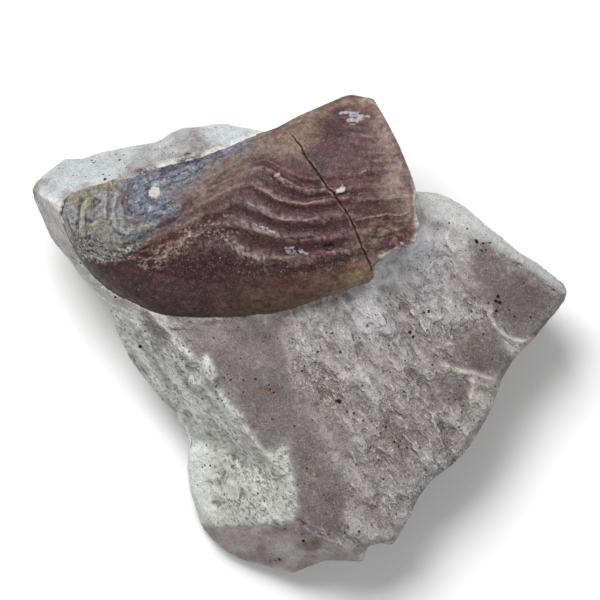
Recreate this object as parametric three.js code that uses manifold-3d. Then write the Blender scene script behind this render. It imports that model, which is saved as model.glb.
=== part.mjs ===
// Fossil aptychus: one thick, ribbed calcite valve bedded in a broken piece of chalky limestone.
// Millimetres, +Z up. The stone lies on its flat underside at z = 0, and the origin is the middle of
// that face. +X runs along the valve to its broken end, +Y to its straight upper margin.
import * as THREE from 'three';
import Module from 'manifold-3d';
import { mergeVertices } from 'three/addons/utils/BufferGeometryUtils.js';

const wasm = await Module();
wasm.setup();

// ---------- driving dimensions ----------
const SEAT_Z = 11;             // floor of the bed in which the valve lies
const BED_GAP = 0.3;           // clearance round the valve in its bed
const STATION_STEP = 2;        // spacing of the stations round the stone's outline
const TOP_RINGS = 17;          // rings from the middle of the stone's upper side to its outline
const EDGE_SOFTNESS = 1.2;     // rounding where two broken faces of the stone meet
const STREAK_DEPTH = 0.45;     // relief of the weathered upper face
const VALVE_CREST_Z = 19;      // highest line of the valve
const RIB_HEIGHT = 0.34;       // tallest growth ribs, between the fold and the crack
const CRACK_WIDTH = 0.22;
const CRACK_DEPTH = 0.7;

// Outline of the stone seen from above, clockwise from its left tip.
const STONE_OUTLINE = [
  [-24.5, 14.5], [-24.2, 15.3], [-23.5, 15.9], [-22.1, 17], [-21.5, 17.5], [-19.9, 17.5],
  [-18.2, 18.1], [-16.2, 18.5], [-13.6, 18.9], [-12.7, 19.1], [-11.8, 19.8], [-10.5, 20.3],
  [-8.6, 20.4], [-7.6, 20.6], [-6.5, 20.6], [-5, 20.3], [-3.3, 19.9], [-0.9, 19.5], [1.5, 20.1],
  [3.6, 20.6], [5.5, 20.3], [6.9, 19], [8, 17.5], [9.1, 15.8], [10.4, 14.6], [12.5, 14.4],
  [13.6, 13.9], [15.3, 12.9], [17.1, 11.3], [18.4, 10.3], [20, 8.9], [21.6, 8], [23.3, 6.7],
  [24.1, 6], [24.4, 5.3], [24.2, 4.5], [23.5, 3.5], [22.6, 2.5], [21.5, 1.1], [20.8, 0.4],
  [19.5, -0.9], [18.5, -2.7], [17.6, -5.3], [16.5, -7.4], [15.5, -8.9], [14, -10.5], [12.2, -11.8],
  [10.9, -13.5], [10.1, -15.3], [9.4, -16.4], [8.9, -17.3], [8.4, -17.9], [7.4, -17.7], [6.5, -17.9],
  [6.1, -18.2], [5.8, -19.4], [4.1, -19.4], [2.3, -19.4], [0.9, -20], [-0.5, -20.7], [-2.9, -20.2],
  [-5.1, -19.6], [-6.7, -18.9], [-8.3, -17.5], [-9.2, -16.4], [-9.6, -15], [-10.2, -13],
  [-10.5, -10.9], [-10.3, -8.5], [-11, -7], [-11.6, -5.6], [-12.7, -4.7], [-13.6, -3.5],
  [-14.7, -2.2], [-15.5, -1.1], [-16.3, 0.3], [-16.9, 2], [-17.4, 3.5], [-17.9, 4.3], [-20, 6.6],
  [-21.6, 8.7], [-22.7, 10], [-23.6, 12], [-24.2, 13.5],
];
const STONE_MIDDLE = [-1, 2];      // every point of both outlines is in sight of this one

// The flat underside: a broken face with straight edges, set in from the outline.
const UNDERSIDE = [
  [-19.4, 13.2], [-13.5, 15.4], [-5.5, 16.6], [3.4, 16], [9.4, 10.8], [19.4, 5], [17, 0],
  [12, -7], [6.6, -14.4], [1, -16.6], [-5.6, -15.3], [-7.2, -9], [-12.2, -0.6], [-17.2, 7.4],
];

// How far a side has come in towards the underside, and how far down it is, ring by ring.
const SIDE_RINGS = [
  { inward: 0.04, down: 0.22 }, { inward: 0.2, down: 0.48 }, { inward: 0.5, down: 0.72 },
  { inward: 0.88, down: 0.94 }, { inward: 1, down: 1 },
];

// Lumps (rise > 0) and scars, pits and hollows (rise < 0) of the stone's upper side.
const STONE_BUMPS = [
  { at: [-10.8, 18.4], radius: 2.6, rise: 1 }, { at: [-15, 17], radius: 1.6, rise: 0.7 },
  { at: [-21.5, 15.6], radius: 1.8, rise: 0.4 }, { at: [21.2, 3.8], radius: 3.6, rise: -0.7 },
  { at: [13.6, -3.8], radius: 2.4, rise: -0.5 }, { at: [17.6, -2.8], radius: 1.5, rise: 0.45 },
  { at: [-9.7, -2], radius: 1.3, rise: -0.9 }, { at: [-8.2, -2.6], radius: 1.2, rise: 0.5 },
  { at: [-7.2, -10.4], radius: 1.3, rise: -0.7 }, { at: [-5.6, -12], radius: 1.1, rise: -0.6 },
  { at: [-8, -13.2], radius: 1.2, rise: -0.5 }, { at: [-3.2, -11], radius: 1, rise: -0.5 },
  { at: [5.6, -18.6], radius: 0.9, rise: -0.9 }, { at: [12.6, 11], radius: 1.6, rise: -0.5 },
];

// Growth lines of the valve, numbered from its upper margin (0) to the top of its flank (10). Each
// starts at the margin, bends round the narrow left end and runs on to the broken right end.
const GROWTH_LINES = [
  { rib: 0, points: [
    [-12.7, 16.7], [-12.5, 16.8], [-12.1, 16.9], [-11.8, 17], [-11.5, 17.1], [-9.3, 17.6],
    [-6.5, 18.6], [-4.1, 19.5], [-2, 20.2], [0, 21.3], [2.3, 22.3], [4.3, 23.1], [5.6, 23], [6.7, 22.8]] },
  { rib: 2.5, points: [
    [-14, 16.1], [-14.1, 14.9], [-13.6, 14.1], [-13.2, 13.9], [-12.5, 14], [-9.5, 15.5],
    [-6.5, 17], [-3.8, 18.1], [-1.7, 18], [0.3, 17.7], [3, 18.2], [5.5, 18.5], [7.4, 18.8], [8.7, 19]] },
  { rib: 5, points: [
    [-15.4, 15.6], [-15.6, 13.8], [-15.4, 12.1], [-14.7, 11.7], [-13.9, 11.9], [-10.2, 13.6],
    [-6.4, 15.5], [-3.5, 16.6], [-1.6, 15.5], [0.4, 14.5], [3.2, 14.6], [5.9, 14.8], [8.4, 15], [10.3, 15.1]] },
  { rib: 6, points: [
    [-16.5, 15.4], [-17, 13.2], [-16.5, 10.9], [-15.4, 10.5], [-14, 10.8], [-9.8, 12.6],
    [-6.5, 14.5], [-4.2, 15], [-1.8, 13.6], [0.4, 13.2], [3.4, 13.7], [6.1, 13.7], [8.5, 13.7], [10.4, 13.8]] },
  { rib: 7, points: [
    [-17.5, 15], [-17.7, 12.7], [-17.4, 10.4], [-16, 9.7], [-14.1, 9.8], [-9.5, 11.7],
    [-6.8, 13], [-5, 13.6], [-2, 11.9], [0.4, 11.8], [3.8, 12], [6.2, 12], [8.5, 12.2], [10.5, 12.5]] },
  { rib: 8, points: [
    [-18.4, 14.8], [-18.9, 12.5], [-18.4, 9.8], [-16.6, 9.1], [-14.3, 8.9], [-10, 10.2],
    [-7.7, 11.2], [-5.5, 11.5], [-2.3, 10.4], [0.5, 10], [4.1, 10.3], [6.5, 10.6], [8.6, 10.9], [10.7, 11.2]] },
  { rib: 9, points: [
    [-19.4, 14.5], [-19.7, 12.2], [-19.2, 9.5], [-17.3, 8.7], [-14.5, 8.3], [-10.5, 8.5],
    [-8.4, 9.7], [-6.5, 9.7], [-3.5, 8.3], [0, 8.3], [3.6, 9], [6, 9.3], [8, 9.7], [10.3, 9.7]] },
  { rib: 9.5, points: [
    [-20.3, 14.2], [-20.5, 12.1], [-19.5, 9.3], [-17.5, 8.5], [-14.8, 7.9], [-11, 7.5],
    [-8.5, 7.8], [-6.2, 7.6], [-3.2, 7], [0.2, 7.2], [3.5, 7.9], [5.5, 8.3], [7, 8.7], [8.7, 9.1]] },
  { rib: 10, points: [
    [-21.1, 13.9], [-21.2, 11.8], [-19.8, 9.2], [-17.7, 8.3], [-15, 7.6], [-11.4, 6.7],
    [-8.6, 6.3], [-5.9, 6], [-2.9, 5.9], [0.3, 6.3], [3.2, 7], [4.9, 7.5], [6, 7.7], [6.9, 7.8]] },
];
const VALVE_MIDDLE = [-4.5, 11.5];
const LAST_RIB = 10;
const LAST_STATION = 13;       // each growth line has stations 0 to 13 along it

// Foot of the valve's flank, at the same stations as the growth lines.
const FLANK_FOOT = [
  [-21.4, 13.6], [-21.8, 12.1], [-20.4, 8.8], [-18.7, 6.5], [-16.5, 4.8], [-12.7, 3.2], [-9.1, 2.9],
  [-5.7, 3], [-2.5, 3.3], [0.6, 4.2], [3.5, 5.2], [5.2, 5.8], [6.1, 6], [6.7, 6.5],
];

// The hairline crack, from just under the upper margin down to the lower right corner.
const CRACK_LINE = [
  [-0.9, 19.6], [0.1, 18.4], [0.9, 17], [2, 15.4], [3, 14.2], [3.7, 13.1], [4.5, 11.9], [5, 11],
  [5.2, 10.4], [6, 8.5], [6.5, 7.3],
];

// ---------- small helpers ----------
const { lerp, clamp, smoothstep } = THREE.MathUtils;

// A broken face: the height of the plane through three points [x, y, z].
function planeThrough(a, b, c) {
  const plane = new THREE.Plane().setFromCoplanarPoints(
    new THREE.Vector3(...a), new THREE.Vector3(...b), new THREE.Vector3(...c));
  const { normal, constant } = plane;
  return (x, y) => -(normal.x * x + normal.y * y + constant) / normal.z;
}

// Lower of two heights, rounded where they cross.
function softMin(a, b) {
  const near = Math.max(EDGE_SOFTNESS - Math.abs(a - b), 0) / EDGE_SOFTNESS;
  return Math.min(a, b) - near * near * EDGE_SOFTNESS / 4;
}

// Higher of two heights, rounded the same way.
const softMax = (a, b) => -softMin(-a, -b);

// Smooth value noise from -1 to 1, one cell per unit.
function noise(x, y) {
  const corner = (i, j) => {
    const s = Math.sin(i * 127.1 + j * 311.7) * 43758.5453;
    return (s - Math.floor(s)) * 2 - 1;
  };
  const i = Math.floor(x);
  const j = Math.floor(y);
  const u = smoothstep(x - i, 0, 1);
  const v = smoothstep(y - j, 0, 1);
  return lerp(lerp(corner(i, j), corner(i + 1, j), u), lerp(corner(i, j + 1), corner(i + 1, j + 1), u), v);
}

// Extra points on a closed outline, so that none of its steps is longer than the given one.
function divided(outline, step) {
  return outline.flatMap(([x, y], n) => {
    const [nextX, nextY] = outline[(n + 1) % outline.length];
    const parts = Math.ceil(Math.hypot(nextX - x, nextY - y) / step);
    return Array.from({ length: parts }, (_, p) => [lerp(x, nextX, p / parts), lerp(y, nextY, p / parts)]);
  });
}

// Where the line from the stone's middle through a point meets a closed outline.
function reach(outline, [px, py]) {
  const [mx, my] = STONE_MIDDLE;
  const dx = px - mx;
  const dy = py - my;
  for (let n = 0; n < outline.length; n += 1) {
    const [ax, ay] = outline[n];
    const [bx, by] = outline[(n + 1) % outline.length];
    const cross = dx * (by - ay) - dy * (bx - ax);
    const along = ((ax - mx) * (by - ay) - (ay - my) * (bx - ax)) / cross;
    const side = ((ax - mx) * dy - (ay - my) * dx) / cross;
    if (along > 0 && side >= 0 && side <= 1) return [mx + dx * along, my + dy * along];
  }
  throw new Error('outline not reached');
}

// Closed body from clockwise rings, lowest first, closed by a fan at the first and the last ring.
function bodyFromRings(rings, firstMiddle, lastMiddle) {
  const count = rings[0].length;
  const positions = [...rings.flat(), firstMiddle, lastMiddle].flat();
  const faces = [];
  const firstApex = rings.length * count;
  const lastApex = firstApex + 1;
  const last = (rings.length - 1) * count;
  for (let n = 0; n < count; n += 1) {
    const next = (n + 1) % count;
    faces.push(firstApex, n, next, lastApex, last + next, last + n);
    for (let ring = 0; ring < rings.length - 1; ring += 1) {
      const a = ring * count;
      const b = a + count;
      faces.push(a + n, b + next, a + next, a + n, b + n, b + next);
    }
  }
  const geometry = new THREE.BufferGeometry();
  geometry.setAttribute('position', new THREE.Float32BufferAttribute(positions, 3));
  geometry.setIndex(faces);
  return geometry;
}

function toSolid(geometry) {
  const bare = geometry.clone();
  bare.deleteAttribute('normal');
  bare.deleteAttribute('uv');
  const merged = mergeVertices(bare, 1e-4);
  return new wasm.Manifold(new wasm.Mesh({
    numProp: 3,
    vertProperties: new Float32Array(merged.attributes.position.array),
    triVerts: new Uint32Array(merged.index.array),
  }));
}

function toGeometry(solid) {
  const mesh = solid.getMesh();
  const geometry = new THREE.BufferGeometry();
  geometry.setAttribute('position', new THREE.BufferAttribute(mesh.vertProperties, 3));
  geometry.setIndex(new THREE.BufferAttribute(mesh.triVerts, 1));
  return geometry;
}

// ---------- the limestone ----------
const frontFace = planeThrough([-4.5, 1.8, 13.5], [24.4, 5.3, 11.2], [9.1, -16.4, 9.4]);
const onFront = (x, y) => [x, y, frontFace(x, y)];
const lowerLeftFace = planeThrough(onFront(-1.45, -8.4), onFront(-0.3, -15.6), [-10, -12.7, 4]);
const upperBevel = planeThrough(onFront(13.6, 11.4), onFront(23, 5.9), [18.2, 10.3, 8.1]);
const bevelByValve = planeThrough(onFront(10.7, 11.4), onFront(13.6, 11.4), [11.8, 14.4, 10.8]);
const stepBehindValve = planeThrough([9, 12, 15], [9, 20, 15], [12, 15, 9]);
const leftFlank = planeThrough(onFront(-12, 1.8), onFront(-3.45, -9.1), [-15.4, -1.4, 6.5]);
const brokenFaces = [
  frontFace,
  planeThrough([-16, 5, 14.2], [-8, 3, 14], [-12, 17, 15.8]),             // level round the valve
  planeThrough([-21, 13.9, 15], [-4, 19.6, 15.3], [-13, 19, 11.8]),       // ledge over the margin
  planeThrough([-21.1, 10.3, 13.6], [-18.2, 6, 13.8], [-22.7, 10, 9.6]),  // rim at the left end
  (x, y) => softMax(leftFlank(x, y), lowerLeftFace(x, y)),
  planeThrough([-6.8, -16.1, lowerLeftFace(-6.8, -16.1)], onFront(3.2, -17.7), [-0.5, -20.7, 3.5]),
  (x, y) => Math.max(upperBevel(x, y), bevelByValve(x, y), stepBehindValve(x, y)),
];

function stoneTop(x, y) {
  let z = brokenFaces.map((face) => face(x, y)).reduce(softMin);
  for (const { at, radius, rise } of STONE_BUMPS) {
    const away = Math.hypot(x - at[0], y - at[1]) / radius;
    z += rise * smoothstep(1 - away, 0, 1);
  }
  // streaks that run down to the right, fading out on the smooth ground under the valve
  const along = 0.574 * x - 0.819 * y;
  const across = 0.819 * x + 0.574 * y;
  const rough = smoothstep(across, -7, 0);
  z += STREAK_DEPTH * rough * noise(across / 1.9, along / 4.5);
  return z + 0.2 * noise(x / 1.5 + 31, y / 1.5);
}

function makeStone() {
  const outline = divided(STONE_OUTLINE, STATION_STEP);
  const [mx, my] = STONE_MIDDLE;
  const rings = [];
  for (let ring = 1; ring <= TOP_RINGS; ring += 1) {
    const out = (ring / TOP_RINGS) ** 0.85;
    const rounding = 0.7 * smoothstep(out, 0.93, 1);
    rings.push(outline.map(([px, py]) => {
      const x = lerp(mx, px, out);
      const y = lerp(my, py, out);
      return [x, y, stoneTop(x, y) - rounding];
    }));
  }
  const rim = rings[rings.length - 1];
  for (const { inward, down } of SIDE_RINGS) {
    rings.push(outline.map((point, n) => {
      const [bx, by] = reach(UNDERSIDE, point);
      const chip = down < 1 ? 0.12 * Math.abs(noise(n / 3.1, down * 9)) : 0;
      return [lerp(point[0], bx, inward + chip), lerp(point[1], by, inward + chip), rim[n][2] * (1 - down)];
    }));
  }
  rings.reverse();
  return bodyFromRings(rings, [mx, my, 0], [mx, my, stoneTop(mx, my)]);
}

// ---------- the valve ----------
const curveThrough = (points) => new THREE.CatmullRomCurve3(
  points.map(([x, y]) => new THREE.Vector3(x, y, 0)), false, 'catmullrom', 0.5);
const growthCurves = GROWTH_LINES.map((line) => curveThrough(line.points));
const footCurve = curveThrough(FLANK_FOOT);

// Place on the valve seen from above: station 0 to 13 along it, growth line 0 to 10 across it.
function valvePlace(station, rib) {
  const upper = clamp(GROWTH_LINES.findIndex((line) => line.rib >= rib), 1, GROWTH_LINES.length - 1);
  const part = (rib - GROWTH_LINES[upper - 1].rib) / (GROWTH_LINES[upper].rib - GROWTH_LINES[upper - 1].rib);
  const across = curveThrough(growthCurves.map((curve) => {
    const { x, y } = curve.getPoint(station / LAST_STATION);
    return [x, y];
  }));
  return across.getPoint((upper - 1 + part) / (GROWTH_LINES.length - 1));
}

// The vaulted form of the valve without its ribs.
function vault(x, y) {
  const crestY = 14.6 + 0.16 * x;
  const crestZ = VALVE_CREST_Z - 0.006 * (x - 3) ** 2;
  const marginY = 21.1 + 0.34 * x;
  const flankY = 5.9 + 0.011 * (x + 3) ** 2;
  const marginZ = 15.7 - 0.0015 * (x - 6) ** 2;
  const flankZ = crestZ - 2.1 + 0.001 * (x - 3) ** 2;
  const upward = y > crestY;
  const q = Math.min((y - crestY) / ((upward ? marginY : flankY) - crestY), 1.35);
  return lerp(upward ? marginZ : flankZ, crestZ, 1 - q * q);
}

// Height of the ribs: strong round the left end and between the fold and the crack, fine elsewhere.
function ribRelief(station, rib) {
  const crest = (0.5 + 0.5 * Math.cos(2 * Math.PI * rib)) ** 2;
  const leftEnd = 1 - smoothstep(station, 2, 4);
  const waves = smoothstep(station, 6, 8) * (1 - 0.6 * smoothstep(station, 10, 11));
  const lower = smoothstep(rib, 3, 5);
  const strength = 0.12 + 0.88 * lower * Math.max(leftEnd, waves, 0.4);
  const edges = smoothstep(rib, 0, 0.8) * smoothstep(LAST_RIB - rib, 0, 0.5);
  return RIB_HEIGHT * strength * edges * crest;
}

// The broken end and the left end are a little rounded over.
function endRounding(station, rib) {
  const right = smoothstep(station, LAST_STATION - 0.35, LAST_STATION);
  const upper = 1 - smoothstep(rib, 0, 0.6);
  return 0.45 * right + 0.3 * upper;
}

const STATION_STEPS = 3;       // columns per station
const RIB_STEPS = 4;           // rows per growth rib
const FLANK_ANGLES = [0.2, 0.42, 0.62, 0.8, 1];

function valveTop(column) {
  const station = column / STATION_STEPS;
  const points = [];
  const ribs = [0, 0.4, 0.8, 1.2, 1.6];
  for (let row = 8; row <= LAST_RIB * RIB_STEPS; row += 1) ribs.push(row / RIB_STEPS);
  for (const rib of ribs) {
    const { x, y } = valvePlace(station, rib);
    points.push([x, y, vault(x, y) + ribRelief(station, rib) - endRounding(station, rib)]);
  }
  const [shoulderX, shoulderY, shoulderZ] = points[points.length - 1];
  const foot = footCurve.getPoint(station / LAST_STATION);
  const footZ = Math.min(stoneTop(foot.x, foot.y) - 0.4, shoulderZ - 1);
  const startAngle = 0.42;
  for (const part of FLANK_ANGLES) {
    const angle = lerp(startAngle, Math.PI / 2, part);
    const out = (Math.sin(angle) - Math.sin(startAngle)) / (1 - Math.sin(startAngle));
    const drop = 1 - Math.cos(angle) / Math.cos(startAngle);
    points.push([lerp(shoulderX, foot.x, out), lerp(shoulderY, foot.y, out), lerp(shoulderZ, footZ, drop)]);
  }
  return points;
}

// A point moved level towards the valve's spine, or away from it if the distance is negative.
const SPINE = new THREE.Line3(new THREE.Vector3(-15.5, 11.6, 0), new THREE.Vector3(5, 14.6, 0));
function towardsSpine([x, y], distance) {
  const edge = new THREE.Vector3(x, y, 0);
  const spine = SPINE.closestPointToPoint(edge, true, new THREE.Vector3());
  const moved = edge.clone().addScaledVector(spine.clone().sub(edge).normalize(), distance);
  return [moved.x, moved.y];
}

// Rings under the valve's edge: down its thickness, then in to the flat face that lies on the seat.
// Over the stone's back edge the valve stands free, so it is thinner there and its underside slopes.
function underEdge(ring, clearance) {
  const freedom = ([x, y]) => smoothstep(x + 0.9 * y, 15, 22);
  const wall = ring.map(([x, y, z]) => {
    const thickness = lerp(z - SEAT_Z - 0.9, 2.6, freedom([x, y]));
    const low = Math.max(z - thickness, SEAT_Z + 0.6) - clearance;
    return [...towardsSpine([x, y], lerp(0.02, 0.35, freedom([x, y])) - clearance), low];
  });
  const seat = ring.map(([x, y]) => (
    [...towardsSpine([x, y], lerp(0.3, 3.4, freedom([x, y])) - clearance), SEAT_Z]));
  return [wall, seat];
}

function makeValve() {
  const columns = [];
  for (let column = 0; column <= LAST_STATION * STATION_STEPS; column += 1) columns.push(valveTop(column));
  const rows = columns[0].length;
  const lastColumn = columns.length - 1;
  const edge = [
    ...columns.slice(0, -1).map((points) => points[0]),
    ...columns[lastColumn].slice(0, -1),
    ...columns.slice(1).reverse().map((points) => points[rows - 1]),
    ...columns[0].slice(1).reverse(),
  ];
  const lower = underEdge(edge, 0);
  const middle = [...VALVE_MIDDLE, SEAT_Z];
  // the skirt and the flat underside
  const positions = [...columns.flat(), ...lower.flat(), middle].flat();
  const vertex = (column, row) => column * rows + row;
  const faces = [];
  for (let c = 0; c < lastColumn; c += 1) {
    for (let r = 0; r < rows - 1; r += 1) {
      faces.push(vertex(c, r), vertex(c, r + 1), vertex(c + 1, r + 1));
      faces.push(vertex(c, r), vertex(c + 1, r + 1), vertex(c + 1, r));
    }
  }
  const edgeIndex = [
    ...Array.from({ length: lastColumn }, (_, c) => vertex(c, 0)),
    ...Array.from({ length: rows - 1 }, (_, r) => vertex(lastColumn, r)),
    ...Array.from({ length: lastColumn }, (_, c) => vertex(lastColumn - c, rows - 1)),
    ...Array.from({ length: rows - 1 }, (_, r) => vertex(0, rows - 1 - r)),
  ];
  const count = edge.length;
  const wallStart = columns.length * rows;
  const seatStart = wallStart + count;
  const apex = seatStart + count;
  for (let n = 0; n < count; n += 1) {
    const next = (n + 1) % count;
    faces.push(edgeIndex[n], edgeIndex[next], wallStart + next, edgeIndex[n], wallStart + next, wallStart + n);
    faces.push(wallStart + n, wallStart + next, seatStart + next);
    faces.push(wallStart + n, seatStart + next, seatStart + n);
    faces.push(seatStart + n, seatStart + next, apex);
  }
  const geometry = new THREE.BufferGeometry();
  geometry.setAttribute('position', new THREE.Float32BufferAttribute(positions, 3));
  geometry.setIndex(faces);
  return { geometry, edge };
}

// The bed that the valve leaves in the stone: its lower form with clearance, open upwards.
function makeBed(edge) {
  const openTop = VALVE_CREST_Z + 5;
  const [wall, seat] = underEdge(edge.filter((_, n) => n % 2 === 0), BED_GAP);
  const high = wall.map(([x, y]) => [x, y, openTop]);
  return bodyFromRings([seat, wall, high], [...VALVE_MIDDLE, SEAT_Z], [...VALVE_MIDDLE, openTop]);
}

// Thin blade that cuts the crack.
function makeCrackBlade() {
  const last = CRACK_LINE.length - 1;
  const rings = CRACK_LINE.map(([x, y], n) => {
    const [ax, ay] = CRACK_LINE[Math.max(n - 1, 0)];
    const [bx, by] = CRACK_LINE[Math.min(n + 1, last)];
    const half = CRACK_WIDTH / 2 * (n === 0 ? 0.3 : 1);
    const length = Math.hypot(bx - ax, by - ay);
    const sideX = -(by - ay) / length * half;
    const sideY = (bx - ax) / length * half;
    const low = vault(x, y) - CRACK_DEPTH * (n === 0 ? 0.2 : 1);
    const high = vault(x, y) + 2;
    return [[x - sideX, y - sideY, low], [x - sideX, y - sideY, high],
      [x + sideX, y + sideY, high], [x + sideX, y + sideY, low]];
  });
  const middle = (ring) => ring[0].map((_, axis) => (ring[0][axis] + ring[2][axis]) / 2);
  return bodyFromRings(rings, middle(rings[0]), middle(rings[last]));
}

// ---------- assembly ----------
const valve = makeValve();
const stoneSolid = toSolid(makeStone()).subtract(toSolid(makeBed(valve.edge)));
const valveSolid = toSolid(valve.geometry).subtract(toSolid(makeCrackBlade()));

const limestone = new THREE.MeshStandardMaterial({ color: 0xb4afab, roughness: 0.92, metalness: 0 });
const calcite = new THREE.MeshStandardMaterial({ color: 0x65483f, roughness: 0.45, metalness: 0 });

const matrixMesh = new THREE.Mesh(toGeometry(stoneSolid), limestone);
matrixMesh.name = 'limestone_matrix';
const valveMesh = new THREE.Mesh(toGeometry(valveSolid), calcite);
valveMesh.name = 'aptychus_valve';

const fossil = new THREE.Group();
fossil.add(matrixMesh, valveMesh);

export default fossil;
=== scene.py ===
import math
from itertools import product

import bpy
import numpy as np
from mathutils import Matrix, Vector


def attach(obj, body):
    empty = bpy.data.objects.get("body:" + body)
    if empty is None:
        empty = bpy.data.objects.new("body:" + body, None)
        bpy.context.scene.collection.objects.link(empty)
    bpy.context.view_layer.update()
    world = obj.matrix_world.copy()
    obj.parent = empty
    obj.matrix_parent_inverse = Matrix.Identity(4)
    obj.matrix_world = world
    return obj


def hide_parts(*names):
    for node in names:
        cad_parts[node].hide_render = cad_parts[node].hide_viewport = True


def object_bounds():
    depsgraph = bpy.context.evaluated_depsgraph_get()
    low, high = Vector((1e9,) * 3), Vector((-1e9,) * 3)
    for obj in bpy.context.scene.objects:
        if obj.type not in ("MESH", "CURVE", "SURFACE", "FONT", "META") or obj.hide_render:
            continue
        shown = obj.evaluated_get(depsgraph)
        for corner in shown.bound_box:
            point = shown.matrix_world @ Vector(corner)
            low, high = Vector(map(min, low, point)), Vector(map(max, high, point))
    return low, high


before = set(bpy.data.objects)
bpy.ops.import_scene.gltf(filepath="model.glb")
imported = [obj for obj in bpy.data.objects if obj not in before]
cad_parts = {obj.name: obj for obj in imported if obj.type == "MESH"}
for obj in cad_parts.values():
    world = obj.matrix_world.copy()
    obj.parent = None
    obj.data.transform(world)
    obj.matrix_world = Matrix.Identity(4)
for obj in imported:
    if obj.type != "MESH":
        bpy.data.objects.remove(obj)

CAD_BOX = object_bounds()
MM = 0.001

# ---------------------------------------------------------------- the stone's driving sizes
SEAT_Z = 11.0
STONE_OUTLINE = [
    (-24.5, 14.5), (-24.2, 15.3), (-23.5, 15.9), (-22.1, 17), (-21.5, 17.5), (-19.9, 17.5),
    (-18.2, 18.1), (-16.2, 18.5), (-13.6, 18.9), (-12.7, 19.1), (-11.8, 19.8), (-10.5, 20.3),
    (-8.6, 20.4), (-7.6, 20.6), (-6.5, 20.6), (-5, 20.3), (-3.3, 19.9), (-0.9, 19.5), (1.5, 20.1),
    (3.6, 20.6), (5.5, 20.3), (6.9, 19), (8, 17.5), (9.1, 15.8), (10.4, 14.6), (12.5, 14.4),
    (13.6, 13.9), (15.3, 12.9), (17.1, 11.3), (18.4, 10.3), (20, 8.9), (21.6, 8), (23.3, 6.7),
    (24.1, 6), (24.4, 5.3), (24.2, 4.5), (23.5, 3.5), (22.6, 2.5), (21.5, 1.1), (20.8, 0.4),
    (19.5, -0.9), (18.5, -2.7), (17.6, -5.3), (16.5, -7.4), (15.5, -8.9), (14, -10.5),
    (12.2, -11.8), (10.9, -13.5), (10.1, -15.3), (9.4, -16.4), (8.9, -17.3), (8.4, -17.9),
    (7.4, -17.7), (6.5, -17.9), (6.1, -18.2), (5.8, -19.4), (4.1, -19.4), (2.3, -19.4), (0.9, -20),
    (-0.5, -20.7), (-2.9, -20.2), (-5.1, -19.6), (-6.7, -18.9), (-8.3, -17.5), (-9.2, -16.4),
    (-9.6, -15), (-10.2, -13), (-10.5, -10.9), (-10.3, -8.5), (-11, -7), (-11.6, -5.6),
    (-12.7, -4.7), (-13.6, -3.5), (-14.7, -2.2), (-15.5, -1.1), (-16.3, 0.3), (-16.9, 2),
    (-17.4, 3.5), (-17.9, 4.3), (-20, 6.6), (-21.6, 8.7), (-22.7, 10), (-23.6, 12), (-24.2, 13.5),
]
STONE_MIDDLE = (-1, 2)
UNDERSIDE = [
    (-19.4, 13.2), (-13.5, 15.4), (-5.5, 16.6), (3.4, 16), (9.4, 10.8), (19.4, 5), (17, 0),
    (12, -7), (6.6, -14.4), (1, -16.6), (-5.6, -15.3), (-7.2, -9), (-12.2, -0.6), (-17.2, 7.4),
]
SIDE_PROFILE = [  # shares of the way inward and down from the rim to the foot
    (0, 0), (0.04, 0.22), (0.2, 0.48), (0.5, 0.72), (0.88, 0.94), (1, 1),
]

# lumps (rise > 0), scars, pits and hollows (rise < 0): place, radius, rise
STONE_BUMPS = [
    ((-10.8, 18.4), 2.6, 1.0), ((-15, 17), 1.6, 0.7), ((-21.5, 15.6), 1.8, 0.4),
    ((21.2, 3.8), 3.6, -0.7), ((13.6, -3.8), 2.4, -0.5), ((17.6, -2.8), 1.5, 0.45),
    ((-9.7, -2), 1.3, -0.9), ((-8.2, -2.6), 1.2, 0.5), ((-6, -9.9), 0.7, -0.5),
    ((-5.2, -10.6), 0.6, -0.4), ((-7.4, -12.4), 0.7, -0.6), ((-7, -11.6), 0.6, -0.35),
    ((-5.2, -13.4), 0.7, -0.45), ((-7.7, -14.3), 0.9, -0.35), ((-5.2, -13), 3.4, 0.4),
    ((-3.2, -10.5), 0.9, -0.3), ((5.6, -18.6), 0.9, -0.9), ((12.6, 11), 1.6, -0.5),
]

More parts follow.
